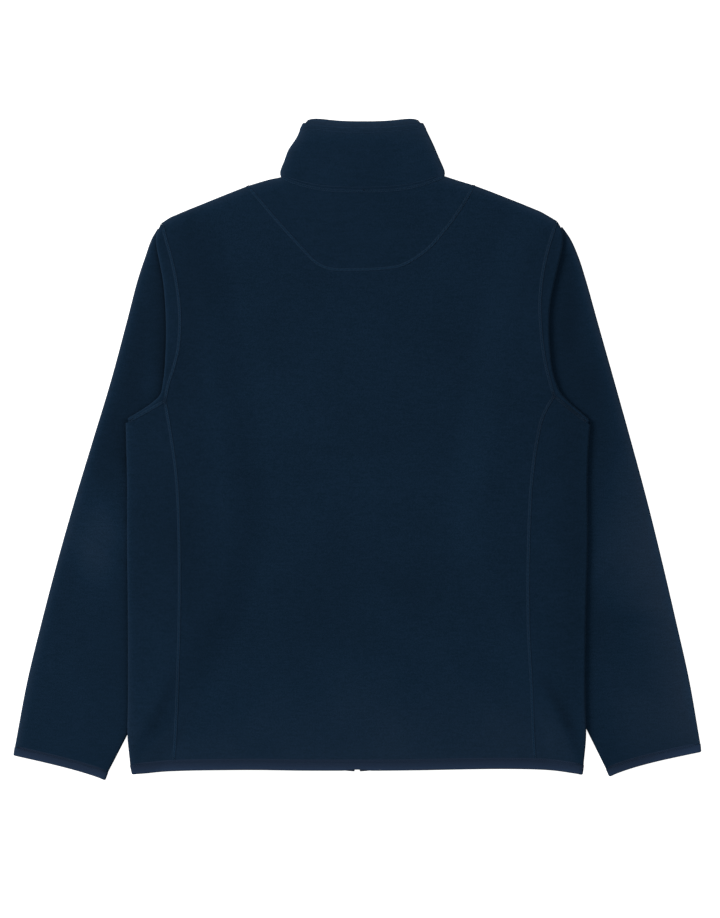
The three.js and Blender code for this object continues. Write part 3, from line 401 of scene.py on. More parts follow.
def crease_height(x, y, layer):
    """The ridges and troughs of one layer, and the low waves of cloth that lies loose."""
    total = np.zeros(x.shape)
    for start, end, width, height in CREASES[layer]:
        a, b = np.array(start) * MM, np.array(end) * MM
        way = (b - a) / np.linalg.norm(b - a)
        t = ((x - a[0]) * way[0] + (y - a[1]) * way[1]) / np.linalg.norm(b - a)
        bow = CREASE_BOW * np.sin(CREASE_CURVE * t)
        off = ((x - a[0]) * -way[1] + (y - a[1]) * way[0] + bow) / (width * MM)
        past = np.maximum(np.maximum(-t, t - 1), 0) * np.linalg.norm(b - a)
        beyond = past / (CREASE_FADE * width * MM)
        fullest = CREASE_ENDS + (1 - CREASE_ENDS) * np.sin(np.pi * np.clip(t, 0, 1))
        trough = TROUGH_DEPTH * np.exp(-(off - TROUGH_AWAY)**2)
        total += height * MM * np.exp(-beyond**2) * fullest * (np.exp(-off**2) - trough)
    for across, up, phase, height in WAVES:
        total += height * MM * np.sin(across * x + up * y + phase) ** 3
    return total


print("Crease height in the middle, mm:",
      round(float(crease_height(middle, middle, "back")[0]) / MM, 2))


# %% What lies under the cloth
def sleeve_support(x, y):
    """How high the body lies on the sleeve under it."""
    lift = np.zeros(x.shape)
    for name, rows in SIDES.items():
        nearest, inside = chain_distance(x, y, LINES[name]["sleeve_outline"])
        own = np.where(inside, 1.0, 1 - soft_step((nearest - DRAPE_START) / DRAPE_WIDTH))
        lift = np.where(np.sign(x) == rows["sign"], own, lift)
    return SLEEVE_LIFT * lift


def bump(x, y, spread):
    """A round rise over the zip slider."""
    return np.exp(-(x * x + (y - SLIDER_Y) ** 2) / (2 * spread * spread))


def hem_line(x, layer=0.0):
    """The hem's lower outline; beside the zip the front (1) drops below it, the back (-1) rises."""
    most = HEM_NOTCH["drop"] if layer > 0 else HEM_NOTCH["rise"]
    drop = layer * most * (1 - soft_step(np.abs(x) / HEM_NOTCH["width"]))
    return np.interp(x, hem_chain[:, 0], hem_chain[:, 1]) - drop


def hem_top(x):
    """The top of the hem's binding."""
    return hem_line(x) + HEM_BINDING


edge_x, edge_y = LINES["left"]["body_edge"][:1].T
print("The sleeve lifts the body's edge by, mm:",
      round(float(sleeve_support(edge_x, edge_y)[0]) / MM, 1))

# %% Heights of the two layers
BESIDE_BAND = 30 * MM  # reach over which the cloth rises to a thicker band
COLLAR_START = 290 * MM  # from here up it rises to the collar


def plain_height(x, y):
    """Middle of the lower cloth without its creases."""
    beside_hem = 1 - soft_step((y - hem_top(x)) / BESIDE_BAND)
    beside_collar = soft_step((y - COLLAR_START) / BESIDE_BAND)
    beside = BINDING_LIFT / 2 * np.maximum(beside_hem, beside_collar)
    zip_rise = SLIDER_LIFT["front"] * bump(x, y, SLIDER_LIFT["spread"])
    return CLOTH / 2 + np.maximum(sleeve_support(x, y), beside) + zip_rise


def front_height(x, y):
    """Middle of the lower cloth."""
    return plain_height(x, y) + np.maximum(crease_height(x, y, "front"), 0)


def back_height(x, y):
    """Middle of the upper cloth."""
    over_zip = SLIDER_LIFT["back"] * bump(x, y, SLIDER_LIFT["back spread"])
    return plain_height(x, y) + 2 * FOLD_RADIUS + over_zip + crease_height(x, y, "back")


print("Back at the middle, mm above the table:",
      round(float(back_height(middle, middle)[0]) / MM, 2))

# %% [markdown]
# ## Laying the panels
#
# A panel starts as a flat grid between its four edges. Every point is then lifted to the
# height of its layer, and near the shoulder, where the cloth folds over from back to front,
# it is rolled round a small quarter circle. A wall of cloth is this middle surface with half
# of the thickness on each side. It is made as mesh code, because a grid keeps the cloth's
# thread lines for its UV map.


# %% Flat grids
def flat_grid(bottom, top, start, end):
    """Fills four edges with points: bottom and top run across, start and end run up."""
    share = [lengths(edge) / lengths(edge)[-1] for edge in (bottom, top, start, end)]
    columns = np.linspace(0, 1, len(bottom))[None, :]
    up = mix(share[2][:, None], share[3][:, None], columns)
    u = mix(share[0][None, :], share[1][None, :], up)
    v = mix(share[2][:, None], share[3][:, None], u)
    u, v = u[..., None], v[..., None]
    straight = mix(bottom[None], top[None], v) + mix(start[:, None], end[:, None], u)
    corners = mix(mix(bottom[0], bottom[-1], u), mix(top[0], top[-1], u), v)
    return straight - corners


square = [np.array(edge, float) for edge in (
    [(0, 0), (1, 0)], [(0, 1), (1, 1)], [(0, 0), (0, 1)], [(1, 0), (1, 1)])]
print("A grid between four edges:", flat_grid(*square).shape)


# %% The fold along the shoulder
def shoulder_inset(x, y):
    """How far inside the shoulder's outline a point lies, and which way is out."""
    best = np.full(x.shape, np.inf)
    out = np.zeros(x.shape + (2,))
    slack = 0.5 * MM
    for name, rows in SIDES.items():
        sign = rows["sign"]
        chain = LINES[name]["shoulder_line"]
        for a, b in zip(chain, chain[1:]):
            dx, dy = b - a
            length = math.hypot(dx, dy)
            far = ((x - a[0]) * dx + (y - a[1]) * dy) / length
            way = np.array([(-dy if sign < 0 else dy) / length, abs(dx) / length])
            inset = -((x - a[0]) * way[0] + (y - a[1]) * way[1])
            better = ((np.where(x < 0, -1, 1) == sign) & (far >= -slack) & (far <= length + slack)
                      & (np.abs(inset) < np.abs(best)))
            best = np.where(better, inset, best)
            out = np.where(better[..., None], way, out)
    return best, out


tip = LINES["left"]["shoulder"][:1]
print("Inside the outline at the shoulder tip, mm:",
      round(abs(float(shoulder_inset(*tip.T)[0][0])) / MM, 2))


# %% A panel in its place
def lay_panel(plan, layer, rolls=True):
    """Puts flat points of the back (1) or the front (-1) in place, and finds their way out."""
    x, y = plan[..., 0], plan[..., 1]
    height = back_height if layer > 0 else front_height
    lower, upper = front_height(x, y), back_height(x, y)
    radius = (upper - lower) / 2
    inset, out = shoulder_inset(x, y)
    inset = np.where(np.isfinite(inset), inset, 1.0)
    turn = np.clip(inset / radius, 0, math.pi / 2)
    rolled = (inset < math.pi / 2 * radius) & rolls
    target = CLOTH / 2 + radius * (1 - np.cos(turn))
    move = np.where(rolled, inset - target, 0)[..., None]
    laid_height = height(x, y)
    rolled_height = (upper + lower) / 2 + layer * radius * np.sin(turn)
    spot = plan + out * move
    points = np.concatenate([spot, np.where(rolled, rolled_height, laid_height)[..., None]], -1)
    tiny = 0.5 * MM
    slope_x = (height(x + tiny, y) - height(x - tiny, y)) / (2 * tiny)
    slope_y = (height(x, y + tiny) - height(x, y - tiny)) / (2 * tiny)
    flat_out = layer * np.stack([-slope_x, -slope_y, np.ones(x.shape)], -1)
    flat_out /= np.linalg.norm(flat_out, axis=-1, keepdims=True)
    cosine, sine = np.cos(turn)[..., None], np.sin(turn)[..., None]
    roll_out = np.concatenate([out * cosine, layer * sine], -1)
    return points, np.where(rolled[..., None], roll_out, flat_out)


print("Cloth's middle at the shoulder tip, mm above the table:",
      round(float(lay_panel(tip, 1)[0][0, 2]) / MM, 1))

# %% Which way is out, and the gaps of the seams
ALL_EDGES = ("bottom", "top", "start", "end")


def unit(v):
    """Vectors of length 1."""
    return v / np.maximum(np.linalg.norm(v, axis=-1, keepdims=True), 1e-12)


def grid_out(grid, closed=False):
    """Which way is out of a surface of points, from its neighbours."""
    if closed:
        across = np.roll(grid, -1, axis=1) - np.roll(grid, 1, axis=1)
    else:
        across = np.gradient(grid, axis=1)
    return unit(np.cross(unit(across), unit(np.gradient(grid, axis=0))))


def open_seams(grid, edges, closed=False):
    """Draws the chosen edges back by half the gap of a seam."""
    grid = grid.copy()
    half = SEAM_GAP / 2
    if "bottom" in edges:
        grid[0] += unit(grid[1] - grid[0]) * half
    if "top" in edges:
        grid[-1] += unit(grid[-2] - grid[-1]) * half
    if "start" in edges:
        grid[:, 0] += unit(grid[:, 1] - grid[:, 0]) * half
    if "end" in edges:
        grid[:, -1] += unit(grid[:, -2] - grid[:, -1]) * half
    return grid


print("Gap of a seam, mm:", SEAM_GAP / MM)


# %% Walls of cloth
def wall_faces(rows, columns, width, closed):
    """Corner numbers of a wall's faces: its two sides and its open edges."""
    layer = rows * width

    def at(side, r, c):
        return side * layer + r * width + (c % columns if closed and width == columns else c)

    last = columns if closed else columns - 1
    r, c = (g.ravel() for g in np.meshgrid(np.arange(rows - 1), np.arange(last), indexing="ij"))
    edge, up = np.arange(last), np.arange(rows - 1)
    top = rows - 1
    parts = [
        (at(0, r, c), at(0, r, c + 1), at(0, r + 1, c + 1), at(0, r + 1, c)),
        (at(1, r, c), at(1, r + 1, c), at(1, r + 1, c + 1), at(1, r, c + 1)),
        (at(0, 0, edge), at(1, 0, edge), at(1, 0, edge + 1), at(0, 0, edge + 1)),
        (at(0, top, edge), at(0, top, edge + 1), at(1, top, edge + 1), at(1, top, edge)),
    ]
    if not closed:
        parts += [
            (at(0, up, 0), at(0, up + 1, 0), at(1, up + 1, 0), at(1, up, 0)),
            (at(0, up, last), at(1, up, last), at(1, up + 1, last), at(0, up + 1, last)),
        ]
    return np.vstack([np.stack(np.broadcast_arrays(*part), 1) for part in parts])


def wall(grid, out=None, thickness=CLOTH, closed=False):
    """Points, faces and UV of a cloth wall on a grid of its middle points."""
    rows, columns = grid.shape[:2]
    out = grid_out(grid, closed) if out is None else out
    offset = out * np.reshape(thickness, (-1, 1, 1)) / 2
    points = np.concatenate([grid + offset, grid - offset]).reshape(-1, 3)
    faces = wall_faces(rows, columns, columns, closed)
    full = np.concatenate([grid, grid[:, :1]], 1) if closed else grid
    width = full.shape[1]
    across = np.cumsum(np.pad(np.linalg.norm(np.diff(full, axis=1), axis=2).mean(0), (1, 0)))
    up = np.cumsum(np.pad(np.linalg.norm(np.diff(full, axis=0), axis=2).mean(1), (1, 0)))
    uv = np.stack(np.broadcast_arrays(across[None, :], up[:, None]), -1).reshape(-1, 2)
    uv = np.tile(uv, (2, 1))[wall_faces(rows, columns, width, closed)]
    a, b, c, d = (points[faces[:, i]] for i in range(4))
    if (np.cross(b, c) * a + np.cross(c, d) * a).sum() < 0:
        faces, uv = faces[:, ::-1], uv[:, ::-1]
    return points, faces, uv


print("Faces of a wall on a small grid:", len(wall_faces(2, 2, 2, False)))

# %% [markdown]
# ## How the nap lies, and where light and shade are painted
#
# A brushed pile is lighter where its fibres lean one way and darker where they lean the other
# way. Light and shade are also painted into the colour: painted shade where the cloth dips,
# painted light and shade in patches, and a painted highlight along each fold. A picture could
# be painted for that. Instead three numbers are worked out at every point of the cloth, and the
# finishes read them: nap gives the patches of tone and of painted light and shade, rim says how
# far the nearest fold is, for its painted highlight, and tuck says how far the left sleeve's
# cloth is from the body's edge above it, for a painted shadow where the light doesn't reach.

# %% Where the nap is lighter or darker, and where light and shade are painted
NAP_AND_PAINTED_LIGHT = {  # patches of nap tone and of painted light and shade: x, y, reach across and up in mm, and how much
    "body": [(0, -400, 420, 105, 0.36), (0, 388, 110, 16, 0.3), (0, -70, 260, 90, 0.03),
             (262, -60, 26, 230, -0.16), (-262, -60, 22, 200, -0.05), (-214, 40, 34, 200, -0.12),
             (-196, -120, 26, 90, -0.1), (-200, 165, 26, 60, -0.12), (-95, 215, 50, 50, -0.08),
             (66, 345, 30, 40, 0.16), (170, -330, 90, 50, 0.12), (0, -270, 110, 50, 0.08)],
    "sleeve": [(-311, -114, 30, 60, 0.48), (350, -105, 36, 80, 0.66), (300, -118, 34, 55, 0.3),
               (352, -186, 34, 9, 0.12), (352, -206, 34, 8, -0.1), (-340, -330, 90, 90, 0.2),
               (362, -320, 84, 100, 0.38), (404, -280, 32, 130, 0.5), (376, -200, 34, 60, 0.44),
               (325, 0, 22, 90, 0.18), (254, 170, 12, 90, -0.1), (284, 170, 20, 60, 0.14),
               (276, 80, 14, 26, -0.1), (-262, 120, 24, 110, -0.12), (-300, 0, 24, 50, -0.12),
               (-234, 130, 10, 100, -0.16), (-250, 80, 12, 36, 0.16)],
    "seam": [(0, -400, 420, 105, 0.2), (243, 150, 24, 110, -0.2), (262, 48, 24, 16, -0.35),
             (126, 290, 26, 34, -0.1), (216, 20, 12, 50, -0.14)],
    "band": [(404, -362, 46, 40, 0.4)],
}
# each kind's starting value, which the patches of tone and painted light and shade raise or lower
NAP_AND_PAINTED_LIGHT_BASE = {"body": 1.0, "sleeve": 0.9, "seam": 0.86, "band": 0.9}
NAP_KINDS = {  # how a piece's name starts, and which of these rows it follows
    "sleeve": "sleeve", "cuff": "band", "hem": "band", "binding": "band",
    "flat_seams": "seam", "seam_threads": "seam"}
TROUGH_PAINTED_SHADE = 0.24  # painted shade: how much darker for each mm that a crease is deep


def nap_and_painted_light(points, kind):
    """How light the cloth is: patches of nap tone and of painted light and shade, and painted shade
    in a crease's trough.
    """
    x, y = points[:, 0], points[:, 1]
    shade = np.full(x.shape, NAP_AND_PAINTED_LIGHT_BASE[kind])
    for at_x, at_y, reach_x, reach_y, much in NAP_AND_PAINTED_LIGHT[kind]:
        across, up = (x / MM - at_x) / reach_x, (y / MM - at_y) / reach_y
        shade += much * np.exp(-(across**2 + up**2))
    layer = "sleeve" if kind == "sleeve" else "back"
    return shade + TROUGH_PAINTED_SHADE * np.minimum(crease_height(x, y, layer) / MM, 0)


print("Shade of the nap in the middle of the back:", nap_and_painted_light(np.zeros((1, 3)), "body").round(2))

# %% Folds that get a painted highlight
FAR = 40 * MM  # stands for any point too far away to count
EVERY = 8  # each eighth point of a smooth line is enough here
# how far behind the edge of the body, and of the sleeve's head, its painted highlight starts
BODY_BEHIND = {"left": 5.5 * MM, "right": 8.0 * MM}
HEAD_BEHIND = {"left": 4.5 * MM, "right": 6.0 * MM}
HEAD_LOW = 6.6 * MM  # the sleeve's head lies above this height, and the rest of it below
RIMS = {"body": [], "sleeve": []}  # folds with a painted highlight: line, how far the light starts behind it, lowest height
for name, own in LINES.items():
    for key in ("shoulder", "neck_side", "collar_edge"):
        RIMS["body"].append((own[key][::EVERY], 0.0, 0.0))
    RIMS["body"].append((own["body_edge"][::EVERY], BODY_BEHIND[name], 0.0))
    RIMS["sleeve"].append((own["sleeve_outer"][::EVERY], 0.0, 0.0))
    RIMS["sleeve"].append((own["arm_edge"][::EVERY], HEAD_BEHIND[name], HEAD_LOW))
    RIMS["sleeve"].append((own["sleeve_outline"][[0, -1]], 0.0, 0.0))
RIMS["body"].append((hem_chain[::EVERY], 0.0, 0.0))


def rim_distance(points, kind):
    """How far each point lies from a fold, for the painted highlight along it."""
    nearest = np.full(len(points), FAR)
    for line, behind, lowest in RIMS[kind]:
        away = line_distance(points[:, 0], points[:, 1], line) + behind
        nearest = np.where(points[:, 2] >= lowest, np.minimum(nearest, away), nearest)
    return nearest


print("Folds:", {kind: len(rows) for kind, rows in RIMS.items()})

# %% Cloth in the painted shadow of the body's edge
SLEEVE_UPPER = 3 * MM  # the sleeve's upper layer lies between this height and its head's


def tuck_distance(points, name):
    """How far the left sleeve's upper cloth is from the body's edge, for the painted shadow beside
    it.
    """
    if name != "sleeve_cloth_left":
        return np.full(len(points), FAR)
    own = LINES["left"]
    edge = np.vstack([own["body_edge"], own["arm_edge"]])
    edge = edge[np.argsort(edge[:, 1])]
    away = np.abs(np.interp(points[:, 1], edge[:, 1], edge[:, 0]) - points[:, 0])
    upper = (points[:, 2] > SLEEVE_UPPER) & (points[:, 2] < HEAD_LOW)
    return np.where(upper, away, FAR)


print("Upper layer of a sleeve, mm:", SLEEVE_UPPER / MM, "to", HEAD_LOW / MM)

# %% From walls to a piece
SHARP = math.radians(55)  # edges that turn more than this aren't smoothed


def make_piece(name, walls, finish, nodes=()):
    """One object from one or more walls, which rides on the jacket and replaces its CAD nodes."""
    starts = np.cumsum([0] + [len(w[0]) for w in walls])
    points = np.vstack([w[0] for w in walls])
    faces = np.vstack([w[1] + start for w, start in zip(walls, starts)])
    mesh = bpy.data.meshes.new(name)
    mesh.from_pydata(points.tolist(), [], faces.tolist())
    uv = np.vstack([w[2] for w in walls])
    mesh.uv_layers.new(name="UVMap").data.foreach_set("uv", uv.astype(np.float32).ravel())
    kind = next((kind for start, kind in NAP_KINDS.items() if name.startswith(start)), "body")
    folds = "sleeve" if name.startswith(("sleeve", "cuff")) else "body"
    # nap holds patches of tone and of painted light and shade; rim and tuck are distances for a
    # painted highlight along folds and a painted shadow beside the body's edge.
    for key, values in (("nap", nap_and_painted_light(points, kind)), ("rim", rim_distance(points, folds)),
                        ("tuck", tuck_distance(points, name))):
        kept = mesh.attributes.new(key, "FLOAT", "POINT")
        kept.data.foreach_set("value", values.astype(np.float32))
    mesh.shade_smooth()
    mesh.set_sharp_from_angle(angle=SHARP)
    mesh.materials.append(finish)
    piece = bpy.data.objects.new(name, mesh)
    bpy.context.scene.collection.objects.link(piece)
    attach(piece, "jacket")
    if nodes:
        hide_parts(*nodes)
    area = sum(polygon.area for polygon in mesh.polygons) / 2
    print(f"{name}: {2 * len(faces)} triangles, {area:.4f} square metres of cloth")


# %% [markdown]
# ## Finishes
#
# Micro fleece is a knit of fine polyester whose face is brushed up and sheared, so it has a
# pebbly nap, no gloss, and a pale bloom where it is seen edge on. Hair strands could draw its
# fibres one by one, but each would be far thinner than a pixel. A weak sheen and a painted
# highlight along each fold give the bloom instead, the lightest places are painted a little
# greyer as painted sheen, and noise drawn at the size of the nap's tufts gives its colour and
# its bump. Attribute nodes read the nap's patches of tone and of painted light and shade, and
# how far the folds are.

# %% The painted light along a fold
FOLD_LIGHT, FOLD_REACH = 1.2, 4.3 * MM  # painted highlight: how much lighter at the fold, and how soon it fades


def painted_edge_light(tree, much, reach, edge="rim"):
    """Painted light beside an edge, from the distance to it; a much below 0 gives painted shade."""
    rim = node(tree, "Attribute", attribute_name=edge)
    share = node(tree, "Math", {0: rim.outputs["Fac"], 1: -reach}, operation="DIVIDE")
    falling = node(tree, "Math", {0: share.outputs[0]}, operation="EXPONENT")
    return node(tree, "Math", {0: falling.outputs[0], 1: much}, operation="MULTIPLY").outputs[0]


print("A fold is lighter by a share of", FOLD_LIGHT, "that fades over, mm:", FOLD_REACH / MM)

# %% Brushed micro fleece
TUFT = 1.7 * MM  # tufts of nap; the real ones are under 1 mm, drawn coarser so that they show
FIBRE = 0.8 * MM
COURSE = 2.6 * MM  # rows of the knit under the nap, drawn twice as coarse as the real ones
DRIFT = 1000 * MM / 11  # slow changes in how the nap lies, eleven to a metre
TUCK_PAINTED_SHADOW, TUCK_REACH = -0.5, 3.0 * MM  # painted shadow on the sleeve beside the body's edge
# Brushed polyester pile gives the eye a soft, matt, finely pebbled navy with no highlight.
fleece, tree, output = start_material("brushed knitted micro fleece")
place = node(tree, "TexCoord").outputs["Object"]
tufts = node(tree, "TexNoise", {
    "Vector": place, "Scale": 1 / TUFT, "Detail": 2.0, "Roughness": 0.6})
long_way = node(tree, "Mapping", {"Vector": place, "Scale": (0.2, 1.0, 1.0)}).outputs[0]
courses = node(tree, "TexNoise", {"Vector": long_way, "Scale": 1 / COURSE, "Detail": 1.0})
fibres = node(tree, "TexNoise", {
    "Vector": place, "Scale": 1 / FIBRE, "Detail": 3.0, "Roughness": 0.6})
drift = node(tree, "TexNoise", {
    "Vector": place, "Scale": 1 / DRIFT, "Detail": 2.0, "Roughness": 0.5})
blend = node(tree, "Math", {0: courses.outputs[0], 1: 0.35, 2: tufts.outputs[0]},
             operation="MULTIPLY_ADD")
nap = node(tree, "MapRange", {0: blend.outputs[0], 1: 0.48, 2: 0.87, 3: 0.0, 4: 1.0})
pebbled = node(tree, "MixRGB", {0: nap.outputs[0], 1: colour("#0a1c2b"), 2: colour("#102234")})
# Painted light and shade: the nap attribute's patches and crease troughs, a painted highlight along
# each fold and a painted shadow beside the body's edge.
nap_and_painted_shade = node(tree, "Attribute", attribute_name="nap")
lay = node(tree, "MapRange", {0: drift.outputs[0], 1: 0.3, 2: 0.7, 3: 0.94, 4: 1.06})
much = node(tree, "Math", {0: nap_and_painted_shade.outputs["Fac"], 1: lay.outputs[0],
                           2: painted_edge_light(tree, FOLD_LIGHT, FOLD_REACH)}, operation="MULTIPLY_ADD")
painted_tuck_shadow = painted_edge_light(tree, TUCK_PAINTED_SHADOW, TUCK_REACH, "tuck")
much = node(tree, "Math", {0: much.outputs[0], 1: painted_tuck_shadow}, operation="ADD")
tinted = node(tree, "VectorMath", {0: pebbled.outputs[0]}, operation="SCALE")
tree.links.new(much.outputs[0], tinted.inputs["Scale"])
# Painted sheen: the lightest places are mixed towards grey.
painted_sheen_share = node(tree, "MapRange", {0: much.outputs[0], 1: 1.1, 2: 1.7, 3: 0.0, 4: 0.22})
painted_sheen_colour = node(tree, "MixRGB", {0: painted_sheen_share.outputs[0], 1: tinted.outputs[0], 2: colour("#2a2727")})
relief = node(tree, "Math", {0: fibres.outputs[0], 1: 0.4, 2: tufts.outputs[0]},
              operation="MULTIPLY_ADD")
pile = node(tree, "Bump", {"Strength": 0.45, "Distance": 0.4 * MM, "Height": relief.outputs[0]})
cloth = node(tree, "BsdfPrincipled", {
    "Base Color": painted_sheen_colour.outputs[0], "Roughness": 0.95, "IOR": 1.5, "Specular IOR Level": 0.05,
    "Sheen Weight": 0.12, "Sheen Roughness": 0.35, "Sheen Tint": colour("#8fb0d0"),
    "Normal": pile.outputs[0]})
tree.links.new(cloth.outputs[0], output.inputs["Surface"])
print(fleece.name, "with tufts of, mm:", TUFT / MM)

# %% [markdown]
# ### Binding
#
# The hem and the cuffs are bound with a stretch knit whose fine ribs run across the tape. It
# isn't brushed, so it is smoother and a little greyer than the fleece. The ribs could be
# modelled, but each is hardly wider than a pixel, so a wave on the tape's UV map gives them as
# a bump.

# %% Knitted binding
RIB = 1.6 * MM  # ribs of the stretch knit, drawn coarser than the real 1 mm
BAND_LIGHT, BAND_REACH = 1.0, 5.0 * MM  # painted light along the band's folded edge
UNDER_PAINTED_SHADE, UNDER_REACH = -1.0, 0.7 * MM  # painted shade where the very edge turns under
# A knit that isn't brushed gives a flatter, tighter band with fine ribs and a faint lustre.
binding, tree, output = start_material("stretch knitted polyester binding")
own_uv = node(tree, "UVMap", uv_map="UVMap").outputs[0]
ribs = node(tree, "TexWave", {
    "Vector": own_uv, "Scale": 1 / (math.pi * RIB), "Distortion": 0.6, "Detail": 1.0,
    "Detail Scale": 3.0}, bands_direction="X")
place = node(tree, "TexCoord").outputs["Object"]
fluff = node(tree, "TexNoise", {"Vector": place, "Scale": 1 / FIBRE, "Detail": 2.0})
shade = node(tree, "MapRange", {0: fluff.outputs[0], 1: 0.3, 2: 0.7, 3: 0.0, 4: 1.0})
knit = node(tree, "MixRGB", {0: shade.outputs[0], 1: colour("#142135"), 2: colour("#1a293c")})
# Painted highlight along the band's fold, painted shade at its very edge, and the nap attribute's
# patches of painted light and shade.
bottom = painted_edge_light(tree, UNDER_PAINTED_SHADE, UNDER_REACH)
much = node(tree, "Math", {0: painted_edge_light(tree, BAND_LIGHT, BAND_REACH), 1: bottom},
            operation="ADD")
nap_and_painted_shade = node(tree, "Attribute", attribute_name="nap")
much = node(tree, "Math", {0: much.outputs[0], 1: nap_and_painted_shade.outputs["Fac"]}, operation="ADD")
tinted = node(tree, "VectorMath", {0: knit.outputs[0]}, operation="SCALE")
tree.links.new(much.outputs[0], tinted.inputs["Scale"])
relief = node(tree, "Math", {0: ribs.outputs[0], 1: 0.6, 2: fluff.outputs[0]},
              operation="MULTIPLY_ADD")
ridge = node(tree, "Bump", {"Strength": 0.5, "Distance": 0.25 * MM, "Height": relief.outputs[0]})
cloth = node(tree, "BsdfPrincipled", {
    "Base Color": tinted.outputs[0], "Roughness": 0.85, "IOR": 1.5, "Specular IOR Level": 0.12,
    "Sheen Weight": 0.1, "Sheen Roughness": 0.35, "Sheen Tint": colour("#9fb0cc"),
    "Normal": ridge.outputs[0]})
tree.links.new(cloth.outputs[0], output.inputs["Surface"])
print(binding.name, "with ribs of, mm:", RIB / MM)

# %% [markdown]
# ### Sewing thread
#
# Spun polyester thread is twisted, so it is smoother than the nap and shows as fine lines
# that are a little lighter. The threads themselves are modelled as tubes later on, so their
# finish only needs a colour, with a noise as long as the turns of the twist.

# %% Polyester sewing thread
TWIST = 1.5 * MM  # turns of the twist, drawn coarser than the real half millimetre
# Spun thread gives fine, slightly lighter lines, because its twist is smoother than the pile.
thread, tree, output = start_material("spun polyester sewing thread")
place = node(tree, "TexCoord").outputs["Object"]
twist = node(tree, "TexNoise", {"Vector": place, "Scale": 1 / TWIST, "Detail": 1.0})
tone = node(tree, "MixRGB", {0: twist.outputs[0], 1: colour("#0e253b"), 2: colour("#172f47")})
# The nap attribute brings its patches of tone and of painted light and shade to the thread.
nap_and_painted_shade = node(tree, "Attribute", attribute_name="nap")
tinted = node(tree, "VectorMath", {0: tone.outputs[0]}, operation="SCALE")
tree.links.new(nap_and_painted_shade.outputs["Fac"], tinted.inputs["Scale"])
fibre = node(tree, "BsdfPrincipled", {
    "Base Color": tinted.outputs[0], "Roughness": 0.7, "IOR": 1.5, "Specular IOR Level": 0.2,
    "Sheen Weight": 0.05, "Sheen Tint": colour("#a9bccf")})
tree.links.new(fibre.outputs[0], output.inputs["Surface"])
print(thread.name, "with a twist of, mm:", TWIST / MM)

# %% [markdown]
# ### Flat seam
#
# Under the threads of a flat seam, the fibres of the nap and the loops of thread are pressed
# together into a stripe about 4 mm wide. Its loops could be modelled one by one, but they
# only show as a grain in its colour, so waves along the seam's UV map draw them, and the
# stripe fades into the fleece at its sides.

# %% Flat seam, sewn through the nap
LOOP = 2.6 * MM  # one stitch of the looper thread
SEAM_CORE = 0.7 * MM  # half of the stripe that isn't faded
SEAM_COVER = 2.1 * MM  # half of the ridge's width
# Thread loops pressed into the pile give a soft, paler stripe whose sides melt into the cloth.
flat_seam, tree, output = start_material("flat seam of fleece and looper thread")
own_uv = node(tree, "UVMap", uv_map="UVMap").outputs[0]
place = node(tree, "TexCoord").outputs["Object"]
loops = node(tree, "TexWave", {"Vector": own_uv, "Scale": 1 / (math.pi * LOOP), "Distortion": 1.0},
             bands_direction="DIAGONAL")
fuzz = node(tree, "TexNoise", {"Vector": place, "Scale": 1 / FIBRE, "Detail": 2.0})
grain = node(tree, "Math", {0: loops.outputs[0], 1: fuzz.outputs[0]}, operation="MULTIPLY")
looped = node(tree, "MixRGB", {0: grain.outputs[0], 1: colour("#0c2538"), 2: colour("#183149")})
across = node(tree, "SeparateXYZ", {0: own_uv})
off = node(tree, "Math", {0: across.outputs[0]}, operation="ABSOLUTE")
beside = node(tree, "MapRange", {0: off.outputs[0], 1: SEAM_CORE, 2: SEAM_COVER, 3: 0.0, 4: 1.0})
tone = node(tree, "MixRGB", {0: beside.outputs[0], 1: looped.outputs[0], 2: colour("#0d2031")})
# Painted highlight along the folds, and the nap attribute's patches of tone and of painted light
# and shade.
nap_and_painted_shade = node(tree, "Attribute", attribute_name="nap")
much = node(tree, "Math", {
    0: painted_edge_light(tree, FOLD_LIGHT, FOLD_REACH), 1: nap_and_painted_shade.outputs["Fac"]}, operation="ADD")
tinted = node(tree, "VectorMath", {0: tone.outputs[0]}, operation="SCALE")
tree.links.new(much.outputs[0], tinted.inputs["Scale"])
raised = node(tree, "Bump", {"Strength": 0.5, "Distance": 0.2 * MM, "Height": grain.outputs[0]})
cloth = node(tree, "BsdfPrincipled", {
    "Base Color": tinted.outputs[0], "Roughness": 0.9, "IOR": 1.5, "Specular IOR Level": 0.08,
    "Sheen Weight": 0.12, "Sheen Roughness": 0.35, "Sheen Tint": colour("#8fb0d0"),
    "Normal": raised.outputs[0]})
tree.links.new(cloth.outputs[0], output.inputs["Surface"])
print(flat_seam.name, "with a stripe of, mm:", 2 * SEAM_COVER / MM)

# %% [markdown]
# ### Zip tape
#
# The tape of a zip is woven from polyester, close and flat. A picture of cloth could be laid
# on it, but two waves on its UV map, one along it and one slanting, cross as the yarns of a
# weave do, at a size in millimetres.

# %% Woven zip tape
YARN = 1.4 * MM  # herringbone of the tape, drawn twice as coarse as the real one
